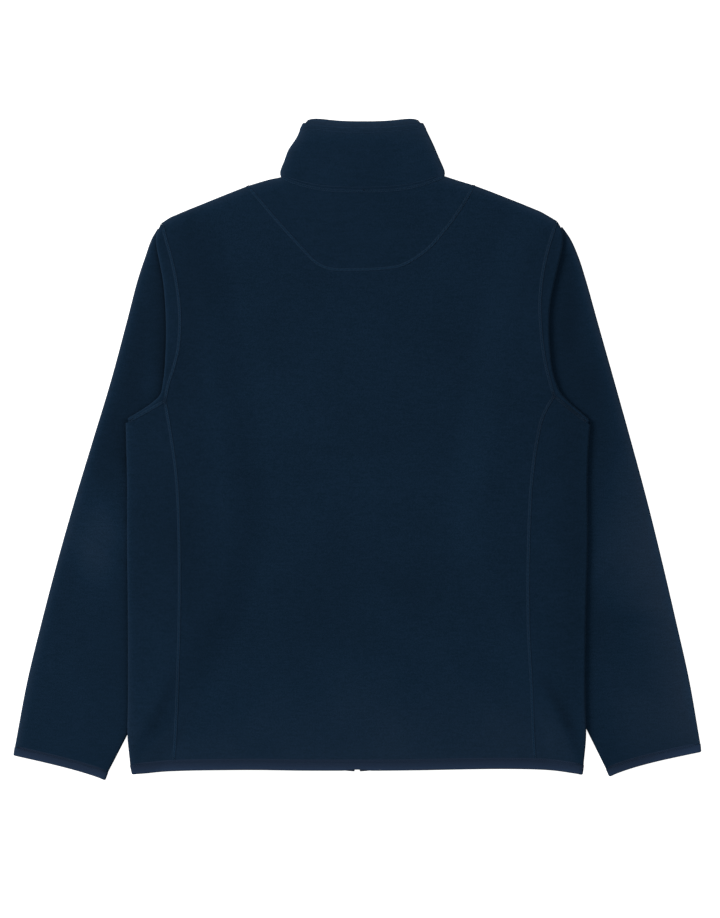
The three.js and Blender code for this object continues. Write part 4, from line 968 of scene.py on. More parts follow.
# A close weave gives a firm, even, slightly shiny tape, flatter than the cloth beside it.
tape, tree, output = start_material("woven polyester zip tape")
own_uv = node(tree, "UVMap", uv_map="UVMap").outputs[0]
warp = node(tree, "TexWave", {"Vector": own_uv, "Scale": 1 / (math.pi * YARN)}, bands_direction="X")
weft = node(tree, "TexWave", {"Vector": own_uv, "Scale": 1 / (math.pi * YARN)},
            bands_direction="DIAGONAL")
weave = node(tree, "Math", {0: warp.outputs[0], 1: weft.outputs[0]}, operation="MULTIPLY")
yarns = node(tree, "MixRGB", {0: weave.outputs[0], 1: colour("#0f1c29"), 2: colour("#1b2b3a")})
raised = node(tree, "Bump", {"Strength": 0.6, "Distance": 0.15 * MM, "Height": weave.outputs[0]})
cloth = node(tree, "BsdfPrincipled", {
    "Base Color": yarns.outputs[0], "Roughness": 0.75, "IOR": 1.5, "Sheen Weight": 0.05,
    "Normal": raised.outputs[0]})
tree.links.new(cloth.outputs[0], output.inputs["Surface"])
print(tape.name, "with yarns of, mm:", YARN / MM)

# %% [markdown]
# ### Teeth and slider
#
# The teeth and the bottom box are moulded acetal, and the slider and its pull tab are die
# cast zinc under dark paint. Both are plain, even finishes. A fine noise gives the acetal the
# marks of its flow, and gives the paint its orange peel and the places where it is worn.

# %% Moulded acetal
FLOW = 10 * MM / 7  # marks that the resin leaves as it flows, seven to a centimetre
# Moulded acetal gives a dense, smooth plastic with a soft, broad highlight.
moulded, tree, output = start_material("moulded acetal, satin")
place = node(tree, "TexCoord").outputs["Object"]
flow = node(tree, "TexNoise", {"Vector": place, "Scale": 1 / FLOW, "Detail": 2.0})
resin = node(tree, "MixRGB", {0: flow.outputs[0], 1: colour("#14202b"), 2: colour("#1b2935")})
skin = node(tree, "Bump", {"Strength": 0.15, "Distance": 0.05 * MM, "Height": flow.outputs[0]})
plastic = node(tree, "BsdfPrincipled", {
    "Base Color": resin.outputs[0], "Roughness": 0.38, "IOR": 1.48, "Normal": skin.outputs[0]})
tree.links.new(plastic.outputs[0], output.inputs["Surface"])
print(moulded.name, "with flow marks of, mm:", round(FLOW / MM, 1))

# %% Painted zinc
PEEL = 10 * MM / 9  # orange peel of the paint, nine bumps to a centimetre
WEAR = 50 * MM / 13  # places where it is worn
# Paint over cast zinc gives a darker, sharper highlight, and it is thinner and paler with wear.
painted, tree, output = start_material("die cast zinc, dark satin paint")
place = node(tree, "TexCoord").outputs["Object"]
orange_peel = node(tree, "TexNoise", {"Vector": place, "Scale": 1 / PEEL, "Detail": 2.0})
wear = node(tree, "TexNoise", {"Vector": place, "Scale": 1 / WEAR, "Detail": 4.0})
worn = node(tree, "MapRange", {0: wear.outputs[0], 1: 0.62, 2: 0.72, 3: 0.0, 4: 0.6})
coat = node(tree, "MixRGB", {0: worn.outputs[0], 1: colour("#1f2429"), 2: colour("#3a4046")})
peel = node(tree, "Bump", {
    "Strength": 0.2, "Distance": 0.05 * MM, "Height": orange_peel.outputs[0]})
paint = node(tree, "BsdfPrincipled", {
    "Base Color": coat.outputs[0], "Roughness": 0.32, "IOR": 1.5, "Coat Weight": 0.3,
    "Normal": peel.outputs[0]})
tree.links.new(paint.outputs[0], output.inputs["Surface"])
print(painted.name, "with worn places of, mm:", round(WEAR / MM, 1))

# %% Finishes of the CAD's own hard parts
for name, finish in (("zip_slider", painted), ("pull_tab", painted), ("zip_box", moulded)):
    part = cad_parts[name]
    part.data.materials.clear()
    part.data.materials.append(finish)
print("Finishes:", ", ".join(m.name for m in bpy.data.materials if m.users))

# %% [markdown]
# ## Back panel and yoke
#
# The back panel runs from the hem to the shoulders between the side seams, and its top is cut
# out in a half moon for the yoke. Both are flat grids laid on the heights above.

# %% Edges that the panels share
JUST_ABOVE = 0.3 * MM  # points of a line that are closer than this to the binding are dropped


def at_hem(x):
    """The point on top of the hem binding at x."""
    return np.array([x, float(hem_top(np.array([x]))[0])])


def from_hem(chain):
    """The chain from the top of the hem binding upwards."""
    keep = chain[chain[:, 1] > hem_top(chain[:, 0]) + JUST_ABOVE]
    return np.vstack([at_hem(keep[0, 0]), keep])


def outer_edge(name):
    """Edge of a panel: up the side seam and the armhole, and over the shoulder tip's fold."""
    own = LINES[name]
    seam = from_hem(own["side_seam"])
    tip, arm_end = own["shoulder"][0], own["arm_seam"][-1]
    side = along(seam, graded(lengths(seam)[-1], end=False))
    arm = along(own["arm_seam"], even(lengths(own["arm_seam"])[-1]))[1:]
    roll = mix(arm_end, tip, np.linspace(0, 1, FOLD_STEPS)[1:, None])
    return np.vstack([side, arm, roll])


def recount(chain, count):
    """The same chain with another number of points, which keep their uneven spacing."""
    shares = lengths(chain) / lengths(chain)[-1]
    return along(chain, np.interp(np.linspace(0, 1, count), np.linspace(0, 1, len(chain)), shares))


print("Points up the left edge:", len(outer_edge("left")))

# %% Steps of a seam that crosses the shoulder
ROLL = 2.83 * MM  # a quarter of the fold's circle, measured on the cloth
SLANT = 1.35  # the seam crosses it at a slant, so its way is this much longer
ROLL_STEPS = 6


def roll_graded(length, roll=ROLL * SLANT):
    """Shares of a seam that crosses the shoulder fold at both ends, with small steps there."""
    low = np.linspace(0, roll / length, ROLL_STEPS)
    middle = np.linspace(low[-1], 1 - low[-1], round(length / STEP))
    return np.concatenate([low[:-1], middle, 1 - low[::-1][1:]])


print("Smallest step on the yoke seam, mm:", round(ROLL * SLANT / (ROLL_STEPS - 1) / MM, 2))

# %% Back panel
edges = [outer_edge(name) for name in SIDES]
left, right = (recount(edge, max(map(len, edges))) for edge in edges)
shoulders = [along(LINES[n]["shoulder"], graded(lengths(LINES[n]["shoulder"])[-1])) for n in SIDES]
yoke_shares = roll_graded(lengths(yoke_seam)[-1])
yoke_points = along(yoke_seam, yoke_shares)
top = np.vstack([shoulders[0], yoke_points[1:], shoulders[1][::-1][1:]])
span = (top[:, 0] - top[0, 0]) / (top[-1, 0] - top[0, 0])
bottom = np.array([at_hem(x) for x in mix(left[0, 0], right[0, 0], span)])
points, out = lay_panel(flat_grid(bottom, top, left, right), 1)
make_piece("back_panel_cloth", [wall(open_seams(points, ALL_EDGES), out)],
           fleece, ("back_panel",))

# %% Half-moon yoke
YOKE_TALLER = 40 * MM  # its middle is taller than its sides, so it has rows for this much more
neck_ends = [LINES[n]["collar_edge"][0] for n in SIDES]
neck_width = neck_ends[1][0] - neck_ends[0][0]


def neckline(share, dip):
    """Points of the neckline at shares of its width; dip says how far it hangs in the middle."""
    share = np.asarray(share, float)
    line = mix(neck_ends[0][None], neck_ends[1][None], share[:, None])
    line[:, 1] -= dip * (1 - np.abs(2 * share - 1) ** NECK_POWER)
    return line


neck_sides = [LINES[n]["neck_side"] for n in SIDES]
up_shares = graded(lengths(neck_sides[0])[-1] + YOKE_TALLER)
points, out = lay_panel(flat_grid(
    yoke_points, neckline(yoke_shares, NECK_DIP["back"]),
    along(neck_sides[0], up_shares), along(neck_sides[1], up_shares)), 1)
make_piece("yoke_cloth", [wall(open_seams(points, ALL_EDGES), out)],
           fleece, ("half_moon_yoke",))

# %% [markdown]
# ## Side panels
#
# Each side panel wraps round the body's edge from the seam on the back to the same seam on
# the front, so its grid goes across the back, round a small half circle and back again.

# %% Folded grids
FOLD_INSET = CLOTH / 2 + FOLD_RADIUS  # from a folded edge to the middle of its half circle


def folded_grid(seam, edge, limb_steps):
    """Points from a seam on the back, round a folded edge, to the same seam on the front."""
    way = unit(edge - seam)
    centre = edge - way * FOLD_INSET
    x, y = centre[:, 0], centre[:, 1]
    middle = plain_height(x, y) + FOLD_RADIUS
    kept = crease_height(x, y, "back")
    rows = []
    for t in np.linspace(0, 1, limb_steps, endpoint=False):
        plan = mix(seam, centre, t)
        rows.append(np.column_stack([plan, back_height(plan[:, 0], plan[:, 1])]))
    for angle in np.linspace(0, math.pi, FOLD_STEPS + 1):
        plan = centre + way * (FOLD_RADIUS * math.sin(angle))
        height = middle + FOLD_RADIUS * math.cos(angle) + kept * (1 + math.cos(angle)) / 2
        rows.append(np.column_stack([plan, height]))
    for t in np.linspace(0, 1, limb_steps + 1)[1:]:
        plan = mix(centre, seam, t)
        rows.append(np.column_stack([plan, front_height(plan[:, 0], plan[:, 1])]))
    return np.stack(rows, 1)


print("From a folded edge to its centre, mm:", round(FOLD_INSET / MM, 1))

# %% Side panels
for name in SIDES:
    own = LINES[name]
    seam, edge = from_hem(own["side_seam"]), from_hem(own["body_edge"])
    shares = graded(lengths(seam)[-1])
    grid = folded_grid(along(seam, shares), along(edge, shares), limb_steps=15)
    grid[0, :, 1] = hem_top(grid[0, :, 0])
    make_piece(f"side_panel_cloth_{name}", [wall(open_seams(grid, ALL_EDGES))],
               fleece, (f"side_panel_{name}",))

# %% [markdown]
# ## Front panels
#
# The fronts lie face down on the table, with the closed zip between them. They are cut lower
# at the neck than the back.

# %% Front panels
FRONT_COLUMNS = 24  # points across one half of the front of the neck


def collar_front(name, edge_x):
    """Places across the front of the neck, from the zip to where the collar folds."""
    sign = SIDES[name]["sign"]
    return np.linspace(sign * CHAIN_HALF, edge_x - sign * FOLD_INSET, FRONT_COLUMNS)


for name, rows in SIDES.items():
    own = LINES[name]
    outer = outer_edge(name)
    zip_x = rows["sign"] * CHAIN_HALF
    share = (collar_front(name, own["collar_edge"][0, 0]) - neck_ends[0][0]) / neck_width
    neck = np.vstack([neckline(share, NECK_DIP["front"]), own["collar_edge"][0]])
    zip_ys = np.linspace(at_hem(zip_x)[1], neck[0, 1], len(outer) - len(neck) + 1)
    zip_edge = np.column_stack([np.full(len(zip_ys), zip_x), zip_ys])
    inner = np.vstack([zip_edge, neck[1:]])
    neck_side, shoulder = own["neck_side"][::-1], own["shoulder"][::-1]
    top = np.vstack([along(neck_side, even(lengths(neck_side)[-1])),
                     along(shoulder, graded(lengths(shoulder)[-1], start=False))[1:]])
    bottom = np.array([at_hem(x) for x in np.linspace(zip_x, outer[0, 0], len(top))])
    points, out = lay_panel(flat_grid(bottom, top, inner, outer), -1)
    make_piece(f"front_panel_cloth_{name}", [wall(open_seams(points, ALL_EDGES), out)],
               fleece, (f"front_panel_{name}",))

# %% [markdown]
# ## Sleeves and cuffs
#
# A sleeve is one panel sewn into a tube. Laid flat it has two layers and two soft folds, and
# its upper part disappears under the body. At the armhole its head rolls over the body's edge.
# The tube is a closed grid of rings, and the head is a folded grid like the side panel's.

# %% Rings of a flattened tube
SLEEVE_INSET = CLOTH / 2 + SLEEVE_RADIUS
LIMB_STEPS = 24  # steps across each layer of a sleeve
BOW_POWER = 0.7  # under 1, the bow is fullest nearer the inner fold


def ring_grid(inner, outer, lower=0.0, upper=0.0, bow=0.0):
    """Closed loops of points round a flattened tube, between its inner and outer folds."""
    way = unit(outer - inner)
    a, b = inner + way * SLEEVE_INSET, outer - way * SLEEVE_INSET
    lower, upper = np.broadcast_to(lower, len(inner)), np.broadcast_to(upper, len(inner))
    middle = SLEEVE_INSET + lower
    loops = []

    def across(t):
        plan = mix(a, b, t)
        plan[:, 1] += bow * math.sin(math.pi * t ** BOW_POWER)
        return plan

    for t in np.linspace(0, 1, LIMB_STEPS, endpoint=False):
        plan = across(t)
        crease = crease_height(plan[:, 0], plan[:, 1], "sleeve") * math.sin(math.pi * t) ** 0.5
        loops.append(np.column_stack([plan, middle + SLEEVE_RADIUS + upper + crease]))
    for angle in np.linspace(0, math.pi, FOLD_STEPS + 1):
        plan = b + way * (SLEEVE_RADIUS * math.sin(angle))
        lifted = upper * (1 - angle / math.pi)
        loops.append(np.column_stack([plan, middle + SLEEVE_RADIUS * math.cos(angle) + lifted]))
    for t in np.linspace(0, 1, LIMB_STEPS + 1)[1:-1]:
        loops.append(np.column_stack([across(1 - t), middle - SLEEVE_RADIUS]))
    for angle in np.linspace(0, math.pi, FOLD_STEPS, endpoint=False):
        plan = a - way * (SLEEVE_RADIUS * math.sin(angle))
        lifted = upper * angle / math.pi
        loops.append(np.column_stack([plan, middle - SLEEVE_RADIUS * math.cos(angle) + lifted]))
    return np.stack(loops, 1)


print("Points round a sleeve:", 2 * LIMB_STEPS + 2 * FOLD_STEPS)

# %% Sleeves
CUFF_REACH = 0.06  # share of the sleeve over which it rises to the cuff's binding
TOP_FROM, TOP_LIFT = 0.95, 1.0 * MM  # under the body the tube's end opens a little
HEAD_START = (0.06, 0.012)  # the head starts just inside the corner under the arm
for name in SIDES:
    own = LINES[name]
    shares = graded(lengths(own["sleeve_outer"])[-1], end=False)
    rings = ring_grid(
        along(own["sleeve_inner"], shares), along(own["sleeve_outer"], shares),
        lower=BINDING_LIFT / 2 * (1 - soft_step(shares / CUFF_REACH)),
        upper=np.where(shares > TOP_FROM, TOP_LIFT, 0),
        bow=CUFF_BOW[name] * (1 - soft_step(shares / BOW_REACH)))
    corner, joint = own["body_edge"][-1], own["side_seam"][-1]
    low = mix(corner, joint, np.linspace(HEAD_START[0], 1, 14)[:, None])
    arm = along(own["arm_seam"], even(lengths(own["arm_seam"])[-1]))[1:]
    head_seam = np.vstack([low, arm])
    head_edge = along(own["arm_edge"], np.linspace(HEAD_START[1], 1, len(head_seam)))
    head = open_seams(folded_grid(head_seam, head_edge, limb_steps=6), ALL_EDGES)
    limb = wall(open_seams(rings, ("bottom",)), closed=True)
    make_piece(f"sleeve_cloth_{name}", [limb, wall(head)], fleece, (f"sleeve_{name}",))


# %% Bound cuffs
CUFF_BINDING = 10 * MM  # width of the tape on the cuff
THINNEST = 0.12  # share of the fold's radius that even the outermost row counts as inside it
BAND_ROWS = np.concatenate([np.linspace(0, 0.16, 6), np.linspace(0.3, 0.9, 5), [0.96, 1.0]])


def rounded(along_band, low_end=True, high_end=False):
    """Thickness of a band that is folded over its edge: thin at the fold and full inside it."""
    thick = np.full(len(along_band), BAND)
    near = []
    if low_end:
        near.append(along_band - along_band[0])
    if high_end:
        near.append(along_band[-1] - along_band)
    for gap in near:
        inside = np.clip(gap / (BAND / 2), THINNEST, 1)
        thick = np.minimum(thick, BAND * np.sqrt(1 - (1 - inside) ** 2))
    return thick


for name, rows in SIDES.items():
    ends = [np.array([rows[key][i] for i in (0, 1)]) * MM * (rows["sign"], 1)
            for key in ("sleeve_inner", "sleeve_outer")]
    inner, outer = (mix(end[0], end[1], BAND_ROWS[:, None]) for end in ends)
    band = open_seams(ring_grid(inner, outer, BINDING_LIFT / 2, bow=CUFF_BOW[name]), ("top",))
    thick = rounded(BAND_ROWS * CUFF_BINDING)
    thick[-1] = CLOTH
    make_piece(f"cuff_binding_cloth_{name}", [wall(band, thickness=thick, closed=True)],
               binding, (f"cuff_binding_{name}",))

# %% [markdown]
# ## Hem binding and collar
#
# The hem is bound with a folded stretch tape. It runs from the zip round the left fold,
# across the back and round to the zip again, with a small notch where its two ends meet.
# The collar runs the same way, and its top edge is turned in and topstitched.


# %% Rows that run all the way round
def round_row(front_left, front_right, left_edge, back, right_edge):
    """One row from the zip round the left fold, across the back and round to the zip again."""
    parts = []

    def lay(plan, height):
        parts.append(np.column_stack([plan, height(plan[:, 0], plan[:, 1])]))

    def turn(edge, sign, angles):
        centre_x = edge[0] - sign * FOLD_INSET
        under = plain_height(np.array([centre_x]), np.array([edge[1]]))
        middle = float(under[0]) + FOLD_RADIUS
        parts.append(np.column_stack([
            centre_x + sign * FOLD_RADIUS * np.sin(angles), np.full(len(angles), edge[1]),
            middle - FOLD_RADIUS * np.cos(angles)]))

    angles = np.linspace(0, math.pi, FOLD_STEPS + 1)
    lay(front_left, front_height)
    turn(left_edge, -1, angles)
    lay(back, back_height)
    turn(right_edge, 1, angles[::-1])
    lay(front_right, front_height)
    return np.vstack(parts)


# %% Hem binding
HEM_COLUMNS = 68  # points across one half of the front, half as many as across the back
hem_rows = []
for level in BAND_ROWS:
    ends = []
    for name, rows in SIDES.items():
        low = np.array(rows["hem_corner"]) * MM * (rows["sign"], 1)
        high = at_hem(LINES[name]["body_edge"][0, 0])
        ends.append(mix(low, high, level))

    def hem_plan(xs, layer):
        return np.column_stack([xs, hem_line(xs, layer * (1 - level)) + level * HEM_BINDING])

    left_fold, right_fold = ends[0][0] + FOLD_INSET, ends[1][0] - FOLD_INSET
    left_xs = np.linspace(-CHAIN_HALF, left_fold, HEM_COLUMNS)[:-1]
    right_xs = np.linspace(right_fold, CHAIN_HALF, HEM_COLUMNS)[1:]
    back_xs = np.linspace(left_fold, right_fold, 2 * HEM_COLUMNS)[1:-1]
    hem_rows.append(round_row(hem_plan(left_xs, 1.0), hem_plan(right_xs, 1.0), ends[0],
                              hem_plan(back_xs, -1.0), ends[1]))
grid = np.stack(hem_rows)
grid[-1, :, 1] = hem_top(grid[-1, :, 0])
thick = rounded(BAND_ROWS * HEM_BINDING)
thick[-1] = CLOTH
make_piece("hem_binding_cloth", [wall(open_seams(grid, ("top", "start", "end")), thickness=thick)],
           binding, ("hem_binding",))

# %% Rows of the collar
COLLAR_HIGH = 86 * MM
COLLAR_COLUMNS = 48  # points across the back of the collar
COLLAR_LEVELS = np.concatenate([[0, 0.01, 0.025], np.linspace(0.05, 0.84, 20), [0.86, COLLAR_BAND],
                                np.linspace(0.895, 0.97, 5), [0.98, 0.988, 0.994, 0.998, 1.0]])
CORNER_POWER = 8  # how square the corners of the collar's top edge are


def collar_row(level):
    """One row of the collar, from the neck seam (0) to the top edge (1)."""
    left, right = (along(LINES[n]["collar_edge"], [level])[0] for n in SIDES)
    width = right[0] - left[0]
    dip = mix(NECK_DIP["back"], COLLAR_TOP["dip"], level)
    rise_from = COLLAR_TOP["rise from"]
    rise = COLLAR_TOP["rise"] * soft_step((level - rise_from) / (1 - rise_from))
    front_dip = mix(NECK_DIP["front"], COLLAR_TOP["front dip"], level)

    def plan(xs, front):
        share = (xs - left[0]) / width
        across = np.abs(2 * share - 1)
        ys = mix(left[1], right[1], share)
        if front:
            ys = ys - front_dip * (1 - across ** NECK_POWER)
        else:
            ys = ys + rise * (1 - across ** CORNER_POWER) - dip * (1 - across ** NECK_POWER)
        return np.column_stack([xs, ys])

    folds = left[0] + FOLD_INSET, right[0] - FOLD_INSET
    back_xs = np.linspace(*folds, COLLAR_COLUMNS)[1:-1]
    return round_row(plan(collar_front("left", left[0])[:-1], True),
                     plan(collar_front("right", right[0])[::-1][1:], True),
                     left, plan(back_xs, False), right)


def collar_line(level, front=False):
    """The plan of a collar row across the back, or across one half of the front."""
    plan = collar_row(level)[:, :2]
    half = FRONT_COLUMNS - 1
    back_start = half + FOLD_STEPS + 2  # past the fold's points and the one beside them
    return (plan[:half], plan[-half:]) if front else plan[back_start:-back_start]


print("Points round the collar:", len(collar_row(0.0)))

# %% Collar
# the collar's top edge gets the painted highlight of a fold too
RIMS["body"].append((collar_line(1.0), 0.0, 0.0))
grid = np.stack([collar_row(level) for level in COLLAR_LEVELS])
thick = np.where(COLLAR_LEVELS >= COLLAR_BAND, BAND, CLOTH)
thick = np.minimum(thick, rounded(COLLAR_LEVELS * COLLAR_HIGH, low_end=False, high_end=True))
make_piece("collar_cloth", [wall(open_seams(grid, ("bottom", "start", "end")), thickness=thick)],
           fleece, ("collar",))

# %% [markdown]
# ## Stitching
#
# Fleece is joined with flat seams: two needle threads run side by side, and a looper thread
# goes to and fro between them over the join, which stands up as a soft ridge. The bindings
# are stitched down in the same way. Beside the zip and along the collar's top runs plain
# topstitching, which sinks into the nap. The ridge is a flat ellipse drawn along the seam,
# with narrow ends, and each thread is a thin tube that follows the cloth, and comes up and
# dips down once in each stitch.

# %% Threads
STITCH = 2.6 * MM
THREAD = 0.24 * MM  # radius of a thread
SEAM_HALF = 1.25 * MM  # half of the distance between the two needles
THREAD_SIDES, RIDGE_SIDES = 4, 10
print("Stitches on 100 mm:", round(100 * MM / STITCH))


# %% Tubes
def shifted(chain, offset):
    """The chain moved sideways on the plan."""
    way = unit(np.gradient(chain, axis=0))
    return chain + np.stack([-way[:, 1], way[:, 0]], 1) * np.reshape(offset, (-1, 1))


def tube(path, out, wide, high, sides, taper=1.0):
    """A closed tube along a path, an ellipse across, as points, faces and UV."""
    way = unit(np.gradient(path, axis=0))
    side = unit(np.cross(way, out))
    up = np.cross(side, way)
    angle = 2 * math.pi * np.arange(sides) / sides
    across, over = np.cos(angle)[None, :, None], np.sin(angle)[None, :, None]
    size = np.broadcast_to(np.reshape(taper, (-1, 1, 1)), (len(path), 1, 1))
    ring = size * (side[:, None] * wide * across + up[:, None] * high * over)
    points = (path[:, None] + ring).reshape(-1, 3)
    start = sides * np.arange(len(path) - 1)[:, None]
    k, n = np.arange(sides)[None, :], (np.arange(sides)[None, :] + 1) % sides
    faces = np.stack([start + k, start + n, start + sides + n, start + sides + k], -1)
    last = len(points) - sides
    fans = [[0, k, k + 1, k + 2] for k in range(1, sides - 2, 2)]
    caps = [fan[::-1] for fan in fans] + [[last + k for k in fan] for fan in fans]
    faces = np.vstack([faces.reshape(-1, 4), caps])
    uv = np.stack(np.broadcast_arrays(wide * np.cos(angle)[None, :], lengths(path)[:, None]), -1)
    uv = uv.reshape(-1, 2)
    a, b, c, d = (points[faces[:, i]] for i in range(4))
    if (np.cross(b, c) * a + np.cross(c, d) * a).sum() < 0:
        faces = faces[:, ::-1]
    return points, faces, uv[faces]


def thread_tube(path, out):
    """A thread along a path."""
    return tube(path, out, THREAD, THREAD, THREAD_SIDES)


print("Faces of a thread's tube for each step:", THREAD_SIDES)

# %% The ridge of a flat seam
RIDGE_STEP = 2.5 * MM
RIDGE_HIGH = 0.55 * MM
RIDGE_SUNK = 0.05 * MM  # its middle lies this far under the cloth's face
NARROWING = 9 * MM  # length of its narrow ends


def seam_cover(plan, put, half=SEAM_COVER, high=RIDGE_HIGH, skin=CLOTH / 2, ends=0.25):
    """The soft ridge of a flat seam, which covers the join of two pieces."""
    shares = even(lengths(plan)[-1], RIDGE_STEP)
    points, out = put(along(plan, shares))
    far = lengths(plan)[-1] * shares
    taper = ends + (1 - ends) * soft_step(np.minimum(far, far[-1] - far) / NARROWING)
    return tube(points + out * (skin - RIDGE_SUNK), out, half, high, RIDGE_SIDES, taper)


print("Width of a ridge, mm:", 2 * SEAM_COVER / MM)

# %% The threads of a seam
CREST, DIP = 0.9, 0.1  # how high a stitch comes up and where it dips down, in thread radii
LOOPER_REACH = 0.9  # the looper thread stops just short of the needle threads
NEEDLES = (-SEAM_HALF, SEAM_HALF)
ON_RIDGE = CLOTH / 2 + 0.3 * MM  # height of the threads over the middle of the cloth


def stitched(plan, put, needles=NEEDLES, looper=True, skin=ON_RIDGE):
    """The threads of one seam along a plan line; put(plan) gives its place and its way out."""
    count = max(2, round(lengths(plan)[-1] / STITCH))
    line = along(plan, np.linspace(0, 1, 2 * count + 1))
    high = np.arange(len(line)) % 2
    tubes = []
    for offset in needles:
        points, out = put(shifted(line, offset))
        rise = skin + np.where(high, CREST, DIP) * THREAD
        tubes.append(thread_tube(points + out * rise[:, None], out))
    if looper:
        to_and_fro = np.where(high, 1, -1) * max(abs(n) for n in needles) * LOOPER_REACH
        points, out = put(shifted(line, to_and_fro))
        tubes.append(thread_tube(points + out * (skin + 0.2 * THREAD), out))
    return tubes


print("Between the needles, mm:", 2 * SEAM_HALF / MM)

# %% Where a seam can lie
PRESSED = 0.7 * THREAD  # threads on the front are pressed in by the table


def on_back(plan):
    """On the back, rolled over the shoulder with it."""
    return lay_panel(plan, 1)


def on_front(plan):
    """On the front, rolled over the shoulder with it."""
    points, out = lay_panel(plan, -1)
    return points - out * PRESSED, out


def flat_back(plan):
    """On the back of the collar or the hem, which lie flat."""
    return lay_panel(plan, 1, rolls=False)


def flat_front(plan):
    """On the front of the collar or the hem."""
    points, out = lay_panel(plan, -1, rolls=False)
    return points - out * PRESSED, out


def panel_seams():
    """Plan lines of the side seams, the armholes and the seams under the arms."""
    for own in LINES.values():
        corner, joint = own["body_edge"][-1], own["side_seam"][-1]
        yield from_hem(own["side_seam"])
        yield np.vstack([own["arm_seam"], mix(own["arm_seam"][-1], own["shoulder"][0], 0.4)])
        yield mix(corner, joint, np.linspace(0.1, 1.0, 12)[:, None])


print("Seams on each side of the jacket:", len(list(panel_seams())) // 2)

# %% Seams of the back
back_lines = [*panel_seams(), yoke_seam]
neck = neckline(np.linspace(0.002, 0.998, 120), NECK_DIP["back"])
covers = [seam_cover(line, on_back) for line in back_lines]
covers.append(seam_cover(neck, on_back, half=1.2 * MM, high=0.35 * MM, ends=0.8))
make_piece("flat_seams_back", covers, flat_seam)
back_tubes = [row for line in back_lines for row in stitched(line, on_back)]
make_piece("seam_threads_back", back_tubes, thread)

# %% Seams of the front
BESIDE_ZIP = (6.5 * MM, 18.0 * MM)  # two rows of topstitching, measured from the chain
IN_NAP = CLOTH / 2 - 0.3 * MM  # they are sunk in the nap
ONE_ROW = {"needles": (0.0,), "looper": False}
covers = [seam_cover(line, on_front, high=0.3 * MM) for line in panel_seams()]
make_piece("flat_seams_front", covers, flat_seam)
front_tubes = [row for line in panel_seams() for row in stitched(line, on_front, skin=CLOTH / 2)]
for name, rows in SIDES.items():
    for away in BESIDE_ZIP:
        x = rows["sign"] * (CHAIN_HALF + away)
        end = neckline([(x - neck_ends[0][0]) / neck_width], NECK_DIP["front"])[0]
        front_tubes += stitched(np.array([at_hem(x), end]), on_front, skin=IN_NAP, **ONE_ROW)
make_piece("seam_threads_front", front_tubes, thread)

# %% Threads of the collar
NECK_ROW, BELOW_BAND, IN_BAND = 0.060, 0.845, 0.900  # levels of the topstitching on the collar
TACK = {"x": 7.6, "y": 310.4, "length": 4.2, "width": 1.0, "points": 17, "lift": 0.3}  # in mm
collar_tubes = stitched(neck, flat_back)
collar_tubes += stitched(collar_line(NECK_ROW), flat_back, **ONE_ROW)
collar_tubes += stitched(collar_line(BELOW_BAND), flat_back, **ONE_ROW)
collar_tubes += stitched(collar_line(IN_BAND), flat_back, skin=BAND / 2, **ONE_ROW)
for level, skin in ((0.0, CLOTH / 2), (BELOW_BAND, CLOTH / 2), (IN_BAND, BAND / 2)):
    for part in collar_line(level, front=True):
        collar_tubes += stitched(part, flat_front, needles=(0.0,), looper=level == 0.0, skin=skin)
swing = np.where(np.arange(TACK["points"]) % 2, 0.5, -0.5) * TACK["width"]
tack_x = TACK["x"] + np.linspace(-0.5, 0.5, TACK["points"]) * TACK["length"]
points, out = flat_back(np.column_stack([tack_x, TACK["y"] + swing]) * MM)
above = CLOTH / 2 + THREAD + TACK["lift"] * MM
collar_tubes.append(thread_tube(points + out * above, out))
make_piece("collar_threads", collar_tubes, thread)

# %% Seams of the hem
EDGE_NEEDLES = (-1.5 * MM, 1.5 * MM)
HEM_END, ZIP_GAP = 267, 4  # where the seam ends at the folds and beside the zip, in mm
RAISED = 0.15 * MM  # the ridge stands on the binding's edge
edge_tubes, edge_covers = [], []
for put, high, spans in (
        (flat_back, 0.5 * MM, [(-HEM_END, HEM_END)]),
        (flat_front, 0.25 * MM, [(-HEM_END, -ZIP_GAP), (ZIP_GAP, HEM_END)])):
    for low_x, high_x in spans:
        xs = np.linspace(low_x, high_x, 120) * MM
        line = np.column_stack([xs, hem_top(xs)])
        edge_covers.append(seam_cover(line, put, 2.2 * MM, high, CLOTH / 2 + RAISED))
        edge_tubes += stitched(line, put, EDGE_NEEDLES, skin=CLOTH / 2 + high - RAISED)
print("Seam at the hem, mm:", 2 * HEM_END, "on the back")


# %% Seams of the cuffs
def on_cuff(plan):
    """On the upper layer of a sleeve, beside its binding."""
    height = CLOTH / 2 + BINDING_LIFT / 2 + 2 * SLEEVE_RADIUS
    points = np.column_stack([plan, np.full(len(plan), height)])
    return points, np.tile([0.0, 0.0, 1.0], (len(plan), 1))


for name, rows in SIDES.items():
    a, b = (np.array(rows[key][1]) * MM * (rows["sign"], 1)
            for key in ("sleeve_inner", "sleeve_outer"))
    shares = np.linspace(0.02, 0.98, 40)
    line = mix(a, b, shares[:, None])
    line[:, 1] += CUFF_BOW[name] * np.sin(math.pi * shares ** BOW_POWER)
    edge_covers.append(seam_cover(line, on_cuff, 2.0 * MM, 0.45 * MM, CLOTH / 2 + RAISED))
    edge_tubes += stitched(line, on_cuff, EDGE_NEEDLES, skin=CLOTH / 2 + 0.4 * MM)
make_piece("binding_seams", edge_covers, binding)
make_piece("binding_threads", edge_tubes, thread)

# %% [markdown]
# ## Zip
#
# The zip faces the table. Its two tapes are sewn behind the fronts, and its moulded teeth
# mesh along the middle. One tooth is modelled as a small block with its edges bevelled, and
# is then repeated down both tapes, each side half a pitch from the other, as real teeth are.

